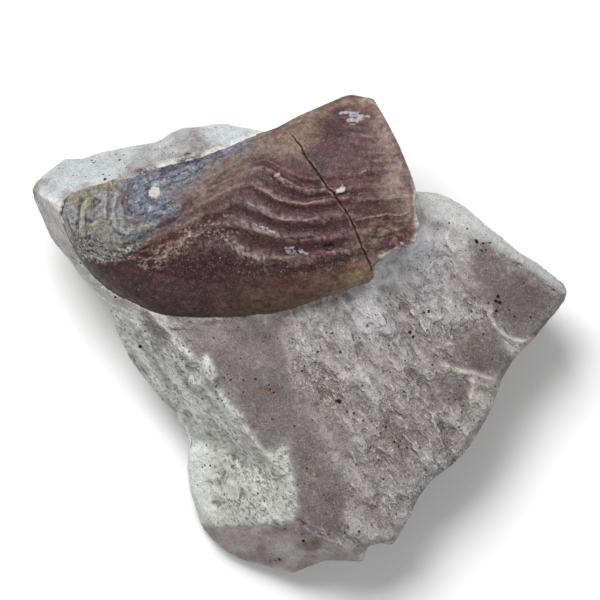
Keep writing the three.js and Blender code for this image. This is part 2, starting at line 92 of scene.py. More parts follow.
# ---------------------------------------------------------------- the valve's driving sizes
VALVE_CREST_Z = 19.0
GROWTH_LINES = [
    (0, [(-12.7, 16.7), (-12.5, 16.8), (-12.1, 16.9), (-11.8, 17), (-11.5, 17.1), (-9.3, 17.6),
        (-6.5, 18.6), (-4.1, 19.5), (-2, 20.2), (0, 21.3), (2.3, 22.3), (4.3, 23.1), (5.6, 23),
        (6.7, 22.8)]),
    (2.5, [(-14, 16.1), (-14.1, 14.9), (-13.6, 14.1), (-13.2, 13.9), (-12.5, 14), (-9.5, 15.5),
        (-6.5, 17), (-3.8, 18.1), (-1.7, 18), (0.3, 17.7), (3, 18.2), (5.5, 18.5), (7.4, 18.8),
        (8.7, 19)]),
    (5, [(-15.4, 15.6), (-15.6, 13.8), (-15.4, 12.1), (-14.7, 11.7), (-13.9, 11.9), (-10.2, 13.6),
        (-6.4, 15.5), (-3.5, 16.6), (-1.6, 15.5), (0.4, 14.5), (3.2, 14.6), (5.9, 14.8), (8.4, 15),
        (10.3, 15.1)]),
    (6, [(-16.5, 15.4), (-17, 13.2), (-16.5, 10.9), (-15.4, 10.5), (-14, 10.8), (-9.8, 12.6),
        (-6.5, 14.5), (-4.2, 15), (-1.8, 13.6), (0.4, 13.2), (3.4, 13.7), (6.1, 13.7), (8.5, 13.7),
        (10.4, 13.8)]),
    (7, [(-17.5, 15), (-17.7, 12.7), (-17.4, 10.4), (-16, 9.7), (-14.1, 9.8), (-9.5, 11.7),
        (-6.8, 13), (-5, 13.6), (-2, 11.9), (0.4, 11.8), (3.8, 12), (6.2, 12), (8.5, 12.2),
        (10.5, 12.5)]),
    (8, [(-18.4, 14.8), (-18.9, 12.5), (-18.4, 9.8), (-16.6, 9.1), (-14.3, 8.9), (-10, 10.2),
        (-7.7, 11.2), (-5.5, 11.5), (-2.3, 10.4), (0.5, 10), (4.1, 10.3), (6.5, 10.6), (8.6, 10.9),
        (10.7, 11.2)]),
    (9, [(-19.4, 14.5), (-19.7, 12.2), (-19.2, 9.5), (-17.3, 8.7), (-14.5, 8.3), (-10.5, 8.5),
        (-8.4, 9.7), (-6.5, 9.7), (-3.5, 8.3), (0, 8.3), (3.6, 9), (6, 9.3), (8, 9.7),
        (10.3, 9.7)]),
    (9.5, [(-20.3, 14.2), (-20.5, 12.1), (-19.5, 9.3), (-17.5, 8.5), (-14.8, 7.9), (-11, 7.5),
        (-8.5, 7.8), (-6.2, 7.6), (-3.2, 7), (0.2, 7.2), (3.5, 7.9), (5.5, 8.3), (7, 8.7),
        (8.7, 9.1)]),
    (10, [(-21.1, 13.9), (-21.2, 11.8), (-19.8, 9.2), (-17.7, 8.3), (-15, 7.6), (-11.4, 6.7),
        (-8.6, 6.3), (-5.9, 6), (-2.9, 5.9), (0.3, 6.3), (3.2, 7), (4.9, 7.5), (6, 7.7),
        (6.9, 7.8)]),
]
LAST_STATION = 13
LAST_RIB = 10
FLANK_FOOT = [
    (-21.4, 13.6), (-21.8, 12.1), (-20.4, 8.8), (-18.7, 6.5), (-16.5, 4.8), (-12.7, 3.2),
    (-9.1, 2.9), (-5.7, 3), (-2.5, 3.3), (0.6, 4.2), (3.5, 5.2), (5.2, 5.8), (6.1, 6), (6.7, 6.5),
]
CRACK_LINE = [
    (-0.9, 19.6), (-0.5, 19.2), (0.1, 18.4), (0.3, 17.8), (0.9, 17), (1.5, 16.2), (2, 15.4),
    (2.6, 14.5), (3, 14.2), (3.7, 13.1), (4.2, 12.5), (4.5, 11.9), (4.7, 11.4), (5, 11),
    (5.2, 10.4), (5.7, 9.1), (6, 8.5), (6.2, 8), (6.5, 7.3),
]
SPINE = ((-15.5, 11.6), (5, 14.6))


# ---------------------------------------------------------------- numbers, noise and curves
def linear(r, g, b):
    """An sRGB colour of 0 to 255 as linear light."""
    c = np.array([r, g, b]) / 255
    return np.where(c <= 0.04045, c / 12.92, ((c + 0.055) / 1.055) ** 2.4)


def step(x, low, high):
    """Smooth step from 0 at low to 1 at high; high may be below low."""
    t = np.clip((x - low) / (high - low), 0, 1)
    return t * t * (3 - 2 * t)


def mix(a, b, amount):
    """a where the amount is 0, b where it is 1."""
    return a + (b - a) * amount


def tinted(colour, towards, amount):
    """Colours of many points (or one for all), each turned towards another by its own amount."""
    return colour + (towards - colour) * amount[:, None]


HASH_FACTORS = np.array([374761393, 668265263, 1440662683])
DIRECTION_COUNT = 1024
DIRECTIONS = np.random.default_rng(5).normal(size=(DIRECTION_COUNT, 3))
DIRECTIONS /= np.linalg.norm(DIRECTIONS, axis=1)[:, None]
NOISE_GAIN = 1.7               # brings gradient noise to about -1 to 1
SCATTER = 0.45                 # how far a site may lie from the middle of its cell
FAR = 9.0                      # farther than any point is from its nearest site, squared


def picked(corner, seed):
    """The number of a direction, which looks random but stays the same for a lattice corner."""
    h = corner @ HASH_FACTORS + seed * 1013904223
    h = (h ^ (h >> 13)) * 1274126177
    return (h ^ (h >> 16)) % DIRECTION_COUNT


def noise(points, cell, seed):
    """Gradient noise, about -1 to 1, one lump per cell of that many millimetres."""
    q = points / cell
    base = np.floor(q).astype(np.int64)
    within = q - base
    fade = within ** 3 * (within * (within * 6 - 15) + 10)
    total = np.zeros(len(q))
    for corner in product((0, 1), repeat=3):
        corner = np.array(corner)
        slope = DIRECTIONS[picked(base + corner, seed)]
        weight = np.prod(np.where(corner, fade, 1 - fade), axis=1)
        total += weight * np.sum(slope * (within - corner), axis=1)
    return total * NOISE_GAIN


def fractal(points, cell, octaves, seed):
    """Noise of several sizes, each half as large and half as strong as the one before."""
    total = np.zeros(len(points))
    for octave in range(octaves):
        total += 0.5 ** octave * noise(points, cell * 0.5 ** octave, seed + octave)
    return total


def sites(points, cell, seed):
    """For each cell near the points: the number it drew, and the way from its site to them."""
    q = points / cell
    base = np.floor(q).astype(np.int64)
    for corner in product((-1, 0, 1), repeat=3):
        site = base + np.array(corner)
        pick = picked(site, seed)
        yield pick, q - site - 0.5 - SCATTER * DIRECTIONS[pick]


def scallops(points, cell, seed):
    """0 in the middle of each bowl of a chipped surface, about 1 on the ridges between them."""
    nearest = np.full(len(points), FAR)
    for _, offset in sites(points, cell, seed):
        nearest = np.minimum(nearest, np.sum(offset ** 2, axis=1))
    return nearest


def facets(points, cell, seed):
    """Tilted flakes, one per cell: height about the mean, with a small step at each border."""
    nearest = np.full(len(points), FAR)
    height = np.zeros(len(points))
    for pick, offset in sites(points, cell, seed):
        away = np.sum(offset ** 2, axis=1)
        tilt = DIRECTIONS[(pick * 7 + 3) % DIRECTION_COUNT]
        height = np.where(away < nearest, np.sum(offset * tilt, axis=1), height)
        nearest = np.minimum(nearest, away)
    return height


def flat(x, y, z=0.0):
    """Points as rows, from coordinates of any shape."""
    x, y, z = np.broadcast_arrays(x, y, z)
    return np.stack([x.ravel(), y.ravel(), z.ravel()], axis=1).astype(float)


def wobbled(p, amount, cell, seeds):
    """The level places of points, pushed about by noise."""
    return tuple(p[:, n] + amount * noise(p, cell, seed) for n, seed in enumerate(seeds))


def tapered(part, share):
    """1 along the middle of a line, falling to 0 over that share of it at each end."""
    return step(part, 0, share) * step(part, 1, 1 - share)


def spline(points, u):
    """Catmull-Rom curve through points (the first axis), at u counted in points."""
    points = np.asarray(points, float)
    padded = np.concatenate([[2 * points[0] - points[1]], points, [2 * points[-1] - points[-2]]])
    i = np.clip(np.floor(u).astype(int), 0, len(points) - 2)
    t = (u - i).reshape((-1,) + (1,) * (points.ndim - 1))
    p0, p1, p2, p3 = (padded[i + n] for n in range(4))
    return 0.5 * (2 * p1 + (p2 - p0) * t + (2 * p0 - 5 * p1 + 4 * p2 - p3) * t ** 2
                  + (3 * p1 - p0 - 3 * p2 + p3) * t ** 3)


def from_line(line, x, y):
    """Distance to a line of points, the side (positive on its left), and the part along it."""
    best = np.full(np.shape(x), 1e9)
    side = np.zeros(np.shape(x))
    along = np.zeros(np.shape(x))
    for n in range(len(line) - 1):
        (ax, ay), (bx, by) = line[n], line[n + 1]
        dx, dy = bx - ax, by - ay
        t = np.clip(((x - ax) * dx + (y - ay) * dy) / (dx * dx + dy * dy), 0, 1)
        away = np.hypot(x - ax - t * dx, y - ay - t * dy)
        nearer = away < best
        best = np.where(nearer, away, best)
        side = np.where(nearer, np.sign(dx * (y - ay) - dy * (x - ax)), side)
        along = np.where(nearer, (n + t) / (len(line) - 1), along)
    return best, side, along


def inside(polygon, x, y):
    """True for points inside a closed outline."""
    found = np.zeros(np.shape(x), bool)
    for (ax, ay), (bx, by) in zip(polygon, polygon[1:] + polygon[:1]):
        if ay == by:
            continue
        crosses = (ay > y) != (by > y)
        found ^= crosses & (x < ax + (y - ay) * (bx - ax) / (by - ay))
    return found


def depth_in(polygon, x, y):
    """Distance to a closed outline, positive inside it."""
    away, _, _ = from_line(list(polygon) + [polygon[0]], x, y)
    return np.where(inside(list(polygon), x, y), away, -away)


# ---------------------------------------------------------------- the form of the stone
def plane_through(a, b, c):
    """The height, at any place, of the plane through three points."""
    a, b, c = (np.array(p, float) for p in (a, b, c))
    n = np.cross(b - a, c - a)
    return lambda x, y: a[2] - (n[0] * (x - a[0]) + n[1] * (y - a[1])) / n[2]


front_face = plane_through((-4.5, 1.8, 13.5), (24.4, 5.3, 11.2), (9.1, -16.4, 9.4))


def on_front(x, y):
    """The point of the front face at a place."""
    return (x, y, float(front_face(x, y)))


lower_left_face = plane_through(on_front(-1.45, -8.4), on_front(-0.3, -15.6), (-10, -12.7, 4))
left_flank = plane_through(on_front(-12, 1.8), on_front(-3.45, -9.1), (-15.4, -1.4, 6.5))
upper_bevel = plane_through(on_front(13.6, 11.4), on_front(23, 5.9), (18.2, 10.3, 8.1))
bevel_by_valve = plane_through(on_front(10.7, 11.4), on_front(13.6, 11.4), (11.8, 14.4, 10.8))
step_behind_valve = plane_through((9, 12, 15), (9, 20, 15), (12, 15, 9))
round_valve = plane_through((-16, 5, 14.2), (-8, 3, 14), (-12, 17, 15.8))
upper_ledge = plane_through((-21, 13.9, 15), (-4, 19.6, 15.3), (-13, 19, 11.8))
left_rim = plane_through((-21.1, 10.3, 13.6), (-18.2, 6, 13.8), (-22.7, 10, 9.6))
bottom_face = plane_through((-6.8, -16.1, float(lower_left_face(-6.8, -16.1))),
                            on_front(3.2, -17.7), (-0.5, -20.7, 3.5))


def soft_min(a, b, soft=0.5):
    """The lower of two heights, with the corner between them rounded over that many millimetres."""
    near = np.maximum(soft - np.abs(a - b), 0) / soft
    return np.minimum(a, b) - near * near * soft / 4


def stone_form(x, y):
    """Height of the stone's upper side, without its fine relief."""
    bevel = np.maximum(np.maximum(upper_bevel(x, y), bevel_by_valve(x, y)), step_behind_valve(x, y))
    left = -soft_min(-left_flank(x, y), -lower_left_face(x, y), 0.3)
    z = front_face(x, y)
    for face in (round_valve(x, y), upper_ledge(x, y), left_rim(x, y), left, bottom_face(x, y),
                 bevel):
        z = soft_min(z, face)
    uneven = noise(flat(x, y), 1.1, 1).reshape(np.shape(x))
    for (bx, by), radius, rise in STONE_BUMPS:
        z = z + rise * step(np.hypot(x - bx, y - by) + 0.16 * radius * uneven, radius, 0)
    return z


# ---------------------------------------------------------------- the form of the valve
def valve_places(station, rib):
    """The valve's grid seen from above: rows of growth-line number, columns of station."""
    lines = np.array([spline(points, station) for _, points in GROWTH_LINES])
    u = np.interp(rib, [number for number, _ in GROWTH_LINES], range(len(GROWTH_LINES)))
    return spline(lines, u)


def vault(x, y):
    """The vaulted form of the valve without its ribs."""
    crest_y = 14.6 + 0.16 * x
    crest_z = VALVE_CREST_Z - 0.006 * (x - 3) ** 2
    margin_y = 21.1 + 0.34 * x
    flank_y = 5.9 + 0.011 * (x + 3) ** 2
    margin_z = 15.7 - 0.0015 * (x - 6) ** 2
    flank_z = crest_z - 2.1 + 0.001 * (x - 3) ** 2
    upward = y > crest_y
    q = np.minimum((y - crest_y) / (np.where(upward, margin_y, flank_y) - crest_y), 1.35)
    return mix(np.where(upward, margin_z, flank_z), crest_z, 1 - q * q)


def valve_outline():
    """The valve's edge seen from above, as a closed line."""
    stations = np.linspace(0, LAST_STATION, LAST_STATION * 6 + 1)
    ribs = np.linspace(0, LAST_RIB, LAST_RIB * 4 + 1)
    grid = valve_places(stations, ribs)
    foot = spline(FLANK_FOOT, stations)
    loop = np.concatenate([grid[0], grid[1:, -1], foot[::-1], grid[:0:-1, 0]])
    return [tuple(p) for p in loop]


def towards_spine(points, distance):
    """Points moved level towards the valve's spine."""
    a, b = np.array(SPINE[0]), np.array(SPINE[1])
    t = np.clip((points[:, :2] - a) @ (b - a) / ((b - a) @ (b - a)), 0, 1)
    inward = a + t[:, None] * (b - a) - points[:, :2]
    inward /= np.linalg.norm(inward, axis=1)[:, None]
    return points[:, :2] + inward * np.asarray(distance)[..., None]


def make_mesh(name, vertices, faces):
    """A mesh object in metres, from vertices in millimetres."""
    mesh = bpy.data.meshes.new(name)
    mesh.from_pydata((np.asarray(vertices) * MM).tolist(), [], faces)
    mesh.update()
    thing = bpy.data.objects.new(name, mesh)
    bpy.context.scene.collection.objects.link(thing)
    return thing


def vertices_of(thing):
    """The vertices' places in millimetres, one row each."""
    co = np.empty(len(thing.data.vertices) * 3)
    thing.data.vertices.foreach_get("co", co)
    return co.reshape(-1, 3) / MM


def set_vertices(thing, vertices):
    """New places for the vertices, kept inside the box of the solids."""
    vertices = np.clip(vertices, np.array(CAD_BOX[0]) / MM, np.array(CAD_BOX[1]) / MM)
    thing.data.vertices.foreach_set("co", (vertices * MM).ravel())
    thing.data.update()


def normals_of(thing):
    normals = np.empty(len(thing.data.vertices) * 3)
    thing.data.vertex_normals.foreach_get("vector", normals)
    return normals.reshape(-1, 3)


def store(thing, name, values):
    """Keeps one number or one colour for each vertex, for the material to read."""
    values = np.asarray(values, float)
    if values.ndim == 1:
        thing.data.attributes.new(name, "FLOAT", "POINT").data.foreach_set("value", values)
        return
    rgba = np.concatenate([values, np.ones((len(values), 1))], axis=1)
    thing.data.attributes.new(name, "FLOAT_COLOR", "POINT").data.foreach_set("color", rgba.ravel())


def smooth_shaded(thing):
    thing.data.polygons.foreach_set("use_smooth", [True] * len(thing.data.polygons))
    thing.data.update()


# ---------------------------------------------------------------- the stone's ground, from above
SMOOTH_GROUND = [
    [(-11.5, 3.2), (-6, 3), (-1, 3.2), (-1.2, 0.6), (-0.9, -1.8), (0.6, -4.5), (1.6, -8),
     (3.4, -11.6), (4.9, -13.4), (4.2, -15.2), (3.4, -17.2), (-0.2, -16.2), (-0.5, -12.5),
     (-1.4, -8.6), (-3.6, -8.8), (-7.6, -3.2), (-9.8, 0)],
    [(16.1, 9.9), (18.2, 8.7), (23.9, 5), (21.8, 1.1), (20, 1.1), (19.1, 1.4), (18.4, 1.9),
     (17.8, 2.7), (17.6, 3.5), (16.4, 5.4), (15.6, 8.2)],
    [(14.9, 1.6), (17.2, 2.4), (18.6, 0.6), (19.4, -0.9), (18.3, -2.6), (17, -2.3), (15.4, -1.7),
     (14.2, 0)], [(13.2, -2.2), (15, -2.5), (15.4, -3.4), (15.1, -4.4), (13.9, -5.3), (12.2, -3.6)],
    [(10.9, 12), (14.4, 11.8), (14, 10.2), (11.2, 10.4)],
]
LEFT_GROUND = [
    (-19, 4.5), (-13.4, 3.2), (-11.3, 1.3), (-9.4, -1.1), (-8.5, -0.4), (-7.9, -0.9), (-7.7, -3.2),
    (-5.5, -6.2), (-3.5, -9.1), (-5.5, -8.8), (-7.9, -8.2), (-9.8, -6.5), (-11.5, -5.6), (-22, -2),
]
LOWER_LEFT_GROUND = [
    (-14, -5), (-11.5, -5.6), (-9.8, -6.5), (-7.9, -8.2), (-5.5, -8.8), (-3.5, -9.3), (-2.1, -9.6),
    (-1.45, -8.3), (-1, -9.6), (-0.6, -11.2), (-0.35, -12.7), (-0.5, -14.4), (-0.6, -15.6),
    (-1.4, -15.9), (-2.7, -15.5), (-4, -16.2), (-5.6, -15.9), (-6.8, -16.4), (-9.1, -16.2),
    (-14, -14),
]
LEFT_STRIP = [
    (-12.6, -5.4), (-11.3, -5.8), (-9.4, -7.1), (-8.1, -9.1), (-8, -10.6), (-8.4, -12),
    (-8.5, -13.6), (-7.8, -15), (-8, -16), (-12.6, -16.5),
]
BOTTOM_GROUND = [
    (-14, -16.3), (-6.8, -16.4), (-0.3, -15.8), (1.8, -17.2), (3.2, -17.8), (6.5, -18), (7, -24),
    (-14, -24),
]
BEVEL_GROUND = [
    (10.4, 16), (10.4, 13.2), (11.4, 12.3), (13.2, 11.6), (15.5, 10.2), (18.2, 8.8), (20.9, 7.1),
    (23.9, 4.9), (27, 6), (20, 13),
]
LEDGE_GROUND = [
    (-26, 17), (-24, 13), (-21.4, 13.9), (-12.6, 16.8), (-6.5, 18.6), (-3.3, 19.6), (0, 22),
    (-26, 24),
]
RIM_GROUND = [
    (-25, 14), (-21.6, 13.4), (-20.4, 8.8), (-18.7, 6.5), (-16.5, 4.8), (-14.6, 4), (-17, 0),
    (-26, 8),
]
BROKEN_WEDGES = [  # pale broken ground between the smooth scars at the right
    [(17.7, 4), (17.45, 3.05), (17.9, 2.4), (18.4, 1.8), (19.1, 1.3), (20, 1.0), (22, 1.1), (21, 0),
     (19.8, -1.2), (19.1, -0.3), (18.6, 0.7), (17.9, 1.6), (17.2, 2.8)],
    [(12.6, 0), (13.2, -1.15), (14, -1.65), (15.1, -1.8), (16.1, -2), (17.2, -2.4), (18.6, -2.8),
     (18, -6.2), (15.4, -5.8), (15.3, -4.5), (15.6, -3.4), (15.4, -2.4), (14.4, -2.1), (13.4, -2),
     (12.7, -1.4)],
]
SMOOTH_PATCH = [(-14.4, 3.4), (-13.2, 2.9), (-11.6, 1.4), (-11.8, 0.2), (-12.8, -0.2), (-14.3, 1.4)]
LIP_LINE = [(-12.4, -5), (-11.4, -5.8), (-10.6, -6.3), (-9.5, -7.2), (-8.7, -8.2), (-8.2, -9.3)]
UPPER_LIGHT = [
    (6.7, 8), (8.6, 8.8), (10.6, 9.8), (14, 11.2), (14.5, 8), (13.3, 4), (9, 1.5), (4, -1),
    (0, -0.5), (-0.5, 2.8), (4, 4.9),
]
BROWN_LUMPS = [
    [(-12.9, 17.5), (-12.5, 18.4), (-11.7, 19.6), (-10.6, 20.3), (-9.5, 20.3), (-8.6, 19.2),
     (-8.1, 18.4), (-8.8, 17.7), (-9.8, 17.4), (-11.3, 17.2)],
    [(-15.9, 15.8), (-15.7, 16.9), (-15, 17.6), (-14.2, 18.3), (-13.5, 18.5), (-13.5, 17.6),
     (-13.3, 16.5), (-13.7, 15.9)],
]
SLOTS = [  # long dark pits of the chalky face: half width, depth, line
    (0.16, 0.3, [(-5.8, -9.3), (-6, -10), (-6.1, -10.8)]),
    (0.12, 0.3, [(-6.8, -11.2), (-7.1, -12), (-7.5, -12.7)]),
    (0.2, 0.25, [(-8.4, -12.2), (-8.3, -12.7)]),
    (0.14, 0.3, [(-5.3, -12.8), (-5.3, -13.6), (-5.6, -14.2)]),
    (0.22, 0.25, [(-7.9, -14.2), (-7.1, -14.2)]), (0.1, 0.2, [(-7.6, -8.8), (-7.8, -9.5)]),
    (0.1, 0.2, [(-6.9, -9.9), (-6.6, -10.6)]), (0.1, 0.2, [(-4.6, -10.4), (-4.5, -11.2)]),
    (0.1, 0.2, [(-4.4, -14.2), (-4, -15)]), (0.2, 0.2, [(-3.4, -11.4), (-3.2, -12.2)]),
    (0.14, 0.2, [(-2.1, -12), (-2.1, -13)]),
    (0.12, 0.2, [(-3.3, -13.6), (-2.9, -14.3), (-2.3, -14.9)]),
    (0.5, 0.35, [(-14.3, 2.8), (-13.6, 1.8), (-12.6, 1.4)]),
    (0.4, 0.3, [(-10.4, -0.9), (-9.4, -1.8)]), (0.2, 0.25, [(-11.4, -0.2), (-10.4, -0.9)]),
]
SCARPS = [  # low broken steps: line, height, width of the slope behind it
    ([(17.8, 4.6), (17.5, 3.05), (17.9, 2.4), (18.4, 1.8), (19.1, 1.3), (20, 1.0), (21.6, 1.0)],
        0.85, 1.8),
    ([(12.4, 0.4), (13.2, -1.15), (14, -1.65), (15.1, -1.8), (16.1, -2), (17.2, -2.4),
        (18.4, -2.8)], 0.8, 1.6),
    ([(15.4, -5.6), (15.3, -4.5), (15.6, -3.4), (15.4, -2.4)], 0.6, 1.2),
    ([(13.6, 8.6), (14.3, 7.6), (14.4, 6.4)], 0.25, 1.0),
    ([(-13.2, 2.9), (-12.2, 2.2), (-11.2, 1.2)], 0.3, 1.4),
    ([(-8.5, -0.9), (-8.1, -2.4), (-7.1, -4.5), (-5.9, -6.8), (-5, -7.7)], 0.35, 0.9),
]
LIGHT_RIDGES = [  # thin, pale broken edges: line, half width, rise
    ([(-13.2, 2.9), (-12.2, 2.1), (-11.2, 1.1)], 0.16, 0.12),
    ([(-8.5, -0.5), (-8.4, -1.8), (-7.9, -3.2), (-7.1, -4.8), (-5.8, -7.1), (-4.6, -8.6)], 0.2,
        0.1), ([(-1.5, -8.4), (-1, -10.6), (-0.7, -13.2), (-0.3, -15.6)], 0.3, 0.16),
    ([(17.4, 3.6), (17.5, 2.9), (17.9, 2.25), (18.4, 1.65), (19.1, 1.15), (20, 0.85), (21.4, 0.85)],
        0.22, 0.12),
    ([(12.6, -0.2), (13.1, -1.2), (14, -1.75), (15.1, -1.9), (16.1, -2.1), (17.2, -2.5),
        (18.2, -2.8)], 0.22, 0.12),
    ([(15.5, -2.4), (15.75, -3.4), (15.45, -4.5), (15.4, -5.4)], 0.2, 0.08),
    ([(15.3, 9.4), (15.3, 8)], 0.12, 0.05),
    ([(-0.4, -15.8), (0.9, -16.6), (2.7, -17.4), (4.5, -18)], 0.1, 0.08),
    ([(2.6, -7.4), (3, -7.9)], 0.1, 0.1), ([(4.4, -8), (4.9, -8.8)], 0.1, 0.1),
    ([(6.4, -9.5), (6.7, -10), (6.8, -10.6)], 0.12, 0.1), ([(2.1, -4.4), (2.6, -5)], 0.1, 0.1),
    ([(4.6, -6.3), (5.3, -7.4), (5.8, -8.2)], 0.1, 0.08), ([(9, 0.4), (9.5, -0.5)], 0.1, 0.06),
    ([(-9.2, -15.9), (-6.8, -16.2), (-4, -16), (-2.6, -15.4)], 0.16, 0.1),
]


SMOOTHER_GROUND = [  # how smooth, where, and the softness and unevenness of the border
    (0.9, BOTTOM_GROUND), (0.8, SMOOTH_PATCH), (0.85, LEFT_STRIP), (0.7, LEDGE_GROUND),
    (0.85, BEVEL_GROUND, 0.3, 0.3),
]


def uneven_patch(polygon, p, soft, warp, lump, finer, seed):
    """How far points belong to a patch, 0 to 1, with lumps of that size along its border."""
    border = depth_in(polygon, p[:, 0], p[:, 1]) + warp * noise(p, lump, seed)
    return step(border + finer * warp * noise(p, 0.45, seed + 1), -soft, soft)


def ground(polygon, p, soft=0.55, warp=0.7):
    """How far points belong to a patch of the stone's ground."""
    return uneven_patch(polygon, p, soft, warp, 1.3, 0.6, 40)


def stepped(values, height, amount):
    """Values drawn together into flat treads with steep steps between them."""
    tread = np.floor(values / height)
    edge = step(values / height - tread, 0.36, 0.64)
    return mix(values, (tread + edge) * height, amount)


def across_streaks(x, y):
    """How far a place lies across the streaks of the broken ground."""
    return 0.82 * x + 0.57 * y


def top_relief(p):
    """The upper side's fine relief, how rough, chalky and light its ground is, and its streaks."""
    x, y = p[:, 0], p[:, 1]
    q = flat(x, y)
    smooth = np.max([ground(patch, q, 1.1, 0.8) for patch in SMOOTH_GROUND], axis=0)
    for share, patch, *border in SMOOTHER_GROUND:
        smooth = np.maximum(smooth, share * ground(patch, q, *border))
    uneven = 1 - smooth
    chalky = np.maximum(ground(LEFT_GROUND, q, 0.4, 0.22), ground(LOWER_LEFT_GROUND, q, 0.3, 0.25))

    along = 0.57 * x - 0.82 * y
    across = across_streaks(x, y)
    bent = across + 0.5 * noise(q, 4.5, 2)
    push = np.column_stack([noise(q, 0.7, 14), noise(q, 0.7, 15), np.zeros(len(q))])
    jagged = flat(bent, along * 0.4) + 0.16 * push
    crumbs = noise(q, 0.75, 5) + 0.6 * noise(q, 0.38, 13)
    slabs = 0.8 * noise(jagged, 2.8, 3) + noise(jagged, 1.3, 4) + 0.4 * noise(jagged, 0.6, 16)
    slabs += 0.08 * crumbs
    rough = np.clip(uneven * (0.85 + 0.4 * noise(q, 5.5, 6)), 0, 1.3)
    aside = [0.3 * noise(q, 0.9, seed) for seed in (14, 15)]
    bowls = scallops(flat(bent + aside[0], along * 0.5 + aside[1]), 1.35, 24)
    slivers = flat(bent + 0.14 * noise(q, 0.5, 25), along * 0.36)
    splinters = step(noise(slivers, 0.62, 47), 0.0, 0.8)
    mounds = step(noise(flat(bent, along * 0.5), 1.8, 48), -0.15, 0.75)
    relief = 0.34 * stepped(slabs, 0.5, 0.12) + 0.08 * (bowls - 0.3) + 0.03 * crumbs
    relief += 0.1 * (splinters - 0.3)
    relief += 0.34 * (mounds - 0.3)
    z = relief * rough * (1 - 0.72 * chalky)
    z += 0.10 * noise(q, 3.2, 19) + 0.03 * fractal(q, 0.8, 2, 20)

    bare = chalky * uneven
    pits = step(noise(flat(across, along * 0.5), 0.42, 8), 0.25, 0.7)
    z -= bare * 0.22 * pits * np.clip(0.5 + 1.2 * noise(q, 1.5, 9), 0, 1)
    z += ground(LEFT_GROUND, q) * uneven * 0.2 * noise(flat(across, along * 0.2), 0.7, 21)
    z += bare * 0.07 * fractal(q, 0.45, 2, 22)

    place = wobbled(q, 0.12, 0.9, (17, 18))
    for line, height, width in SCARPS:
        away, side, part = from_line(line, *place)
        behind = step(side * away, 0.3, -0.3)
        fall = mix(-step(away, width, 0), step(away, 0.7, 0), behind)
        z += height * tapered(part, 0.15) * 0.4 * fall
    light = np.zeros(len(q))
    place = wobbled(q, 0.08, 1.1, (10, 12))
    gaps = np.clip(0.8 + 0.4 * noise(q, 1.4, 11), 0, 1)
    ragged = 0.05 * noise(q, 0.35, 23)
    for line, half, rise in LIGHT_RIDGES:
        away, _, part = from_line(line, *place)
        crest = step(away + ragged, half * 2, half * 0.2) * (gaps * tapered(part, 0.15))
        light = np.maximum(light, crest)
        z += 0.6 * rise * crest
    place = wobbled(q, 0.15, 0.7, (28, 29))
    ragged = 0.1 * noise(q, 0.4, 27)
    for half, depth, line in SLOTS:
        z -= depth * step(from_line(line, *place)[0] + ragged, half * 1.5, half * 0.3)
    away, side, part = from_line(LIP_LINE, x, y)
    below = np.where((y < -4) & (x < -0.5), step(side * away, 0.15, -0.3), 0)
    z -= 0.85 * below * step(away, 4.5, 0.5) * step(part, 1, 0.7)
    for lump in BROWN_LUMPS:
        z += 0.95 * step(depth_in(lump, x, y) + 0.25 * noise(q, 1.1, 31), -0.1, 0.9)
    streaky = noise(flat(bent, along * 0.4), 1.3, 32) + 1.2 * noise(slivers, 2.6, 34)
    streaky += 0.7 * (splinters - 0.35) + 0.7 * (mounds - 0.35)
    return z, rough, chalky, light, streaky


CONTACT_DEPTH = 0.16           # of the stone below the valve's vault where it laps the margin
EDGE_DEPTH = 0.12              # of the stone below the vault just inside the valve's edge
HIDDEN_DEPTH = 1.1             # of the stone below the vault where the valve hides it


def by_upper_margin(x, y):
    """0 on the valve, 1 behind its upper margin."""
    return step(y - 0.31 * x, 17.2, 18.6)


def hug_valve(p, z):
    """Keeps the stone below the valve, and brings it up against the valve's buried margins."""
    x, y = p[:, 0], p[:, 1]
    q = flat(x, y)
    depth = depth_in(VALVE_EDGE, x, y)
    outside = np.maximum(-depth, 0)
    arch = vault(x, y)
    margin = step(x + 0.35 * noise(q, 1.2, 12), 1.6, -1.2) * by_upper_margin(x, y)
    contact = arch - CONTACT_DEPTH + CONTACT_DEPTH * noise(q, 0.9, 33)
    collar = contact - 0.4 * outside - 0.5 * outside ** 2
    z = np.maximum(z, mix(z, collar, margin))
    end = step(x, 8.4, 10.4) * step(y, 14.4, 10.4) * step(y, 6.4, 8.8)
    end *= step(depth_in(STONE_OUTLINE, x, y), 0.3, 2.6)
    z += end * step(outside, 3.2, 0) ** 1.5 + 0.12 * (1 - margin) * step(outside, 0.6, 0)
    edge = mix(arch - EDGE_DEPTH, contact, margin)
    under = mix(edge, arch - HIDDEN_DEPTH, step(depth, 0.05, COVERED))
    return np.where(depth > 0, np.minimum(z, under), z)


# ---------------------------------------------------------------- the stone's mesh
VALVE_EDGE = valve_outline()
OUTLINE_STEP = 0.34            # between the loft's points along the outline
TOP_RINGS = 110                # from the middle to the rim
SIDE_RINGS = 34                # from the rim to the foot
RIM_DROP = 0.45                # how far the rim is rounded down
VOXEL = 0.165   # of the remesh that makes one skin
STONE_TRIANGLES = 194000
FOOT_RISE = 0.5                # of the stone along the foot of the valve's left end
SUNK = 0.02                    # depth of that foot below the stone's form before it is raised
COVERED = 0.9                  # this far under the valve the stone is never seen
LOWEST_SEEN = 0.05             # below this lies the flat underside
KEPT = 0.04                    # weight in the decimation of what is seen, against 1 for the rest


def divided(outline, longest):
    """A closed outline with points no farther apart than the longest step."""
    points = []
    for (ax, ay), (bx, by) in zip(outline, outline[1:] + outline[:1]):
        parts = math.ceil(math.hypot(bx - ax, by - ay) / longest)
        points += [(ax + (bx - ax) * p / parts, ay + (by - ay) * p / parts) for p in range(parts)]
    return np.array(points)


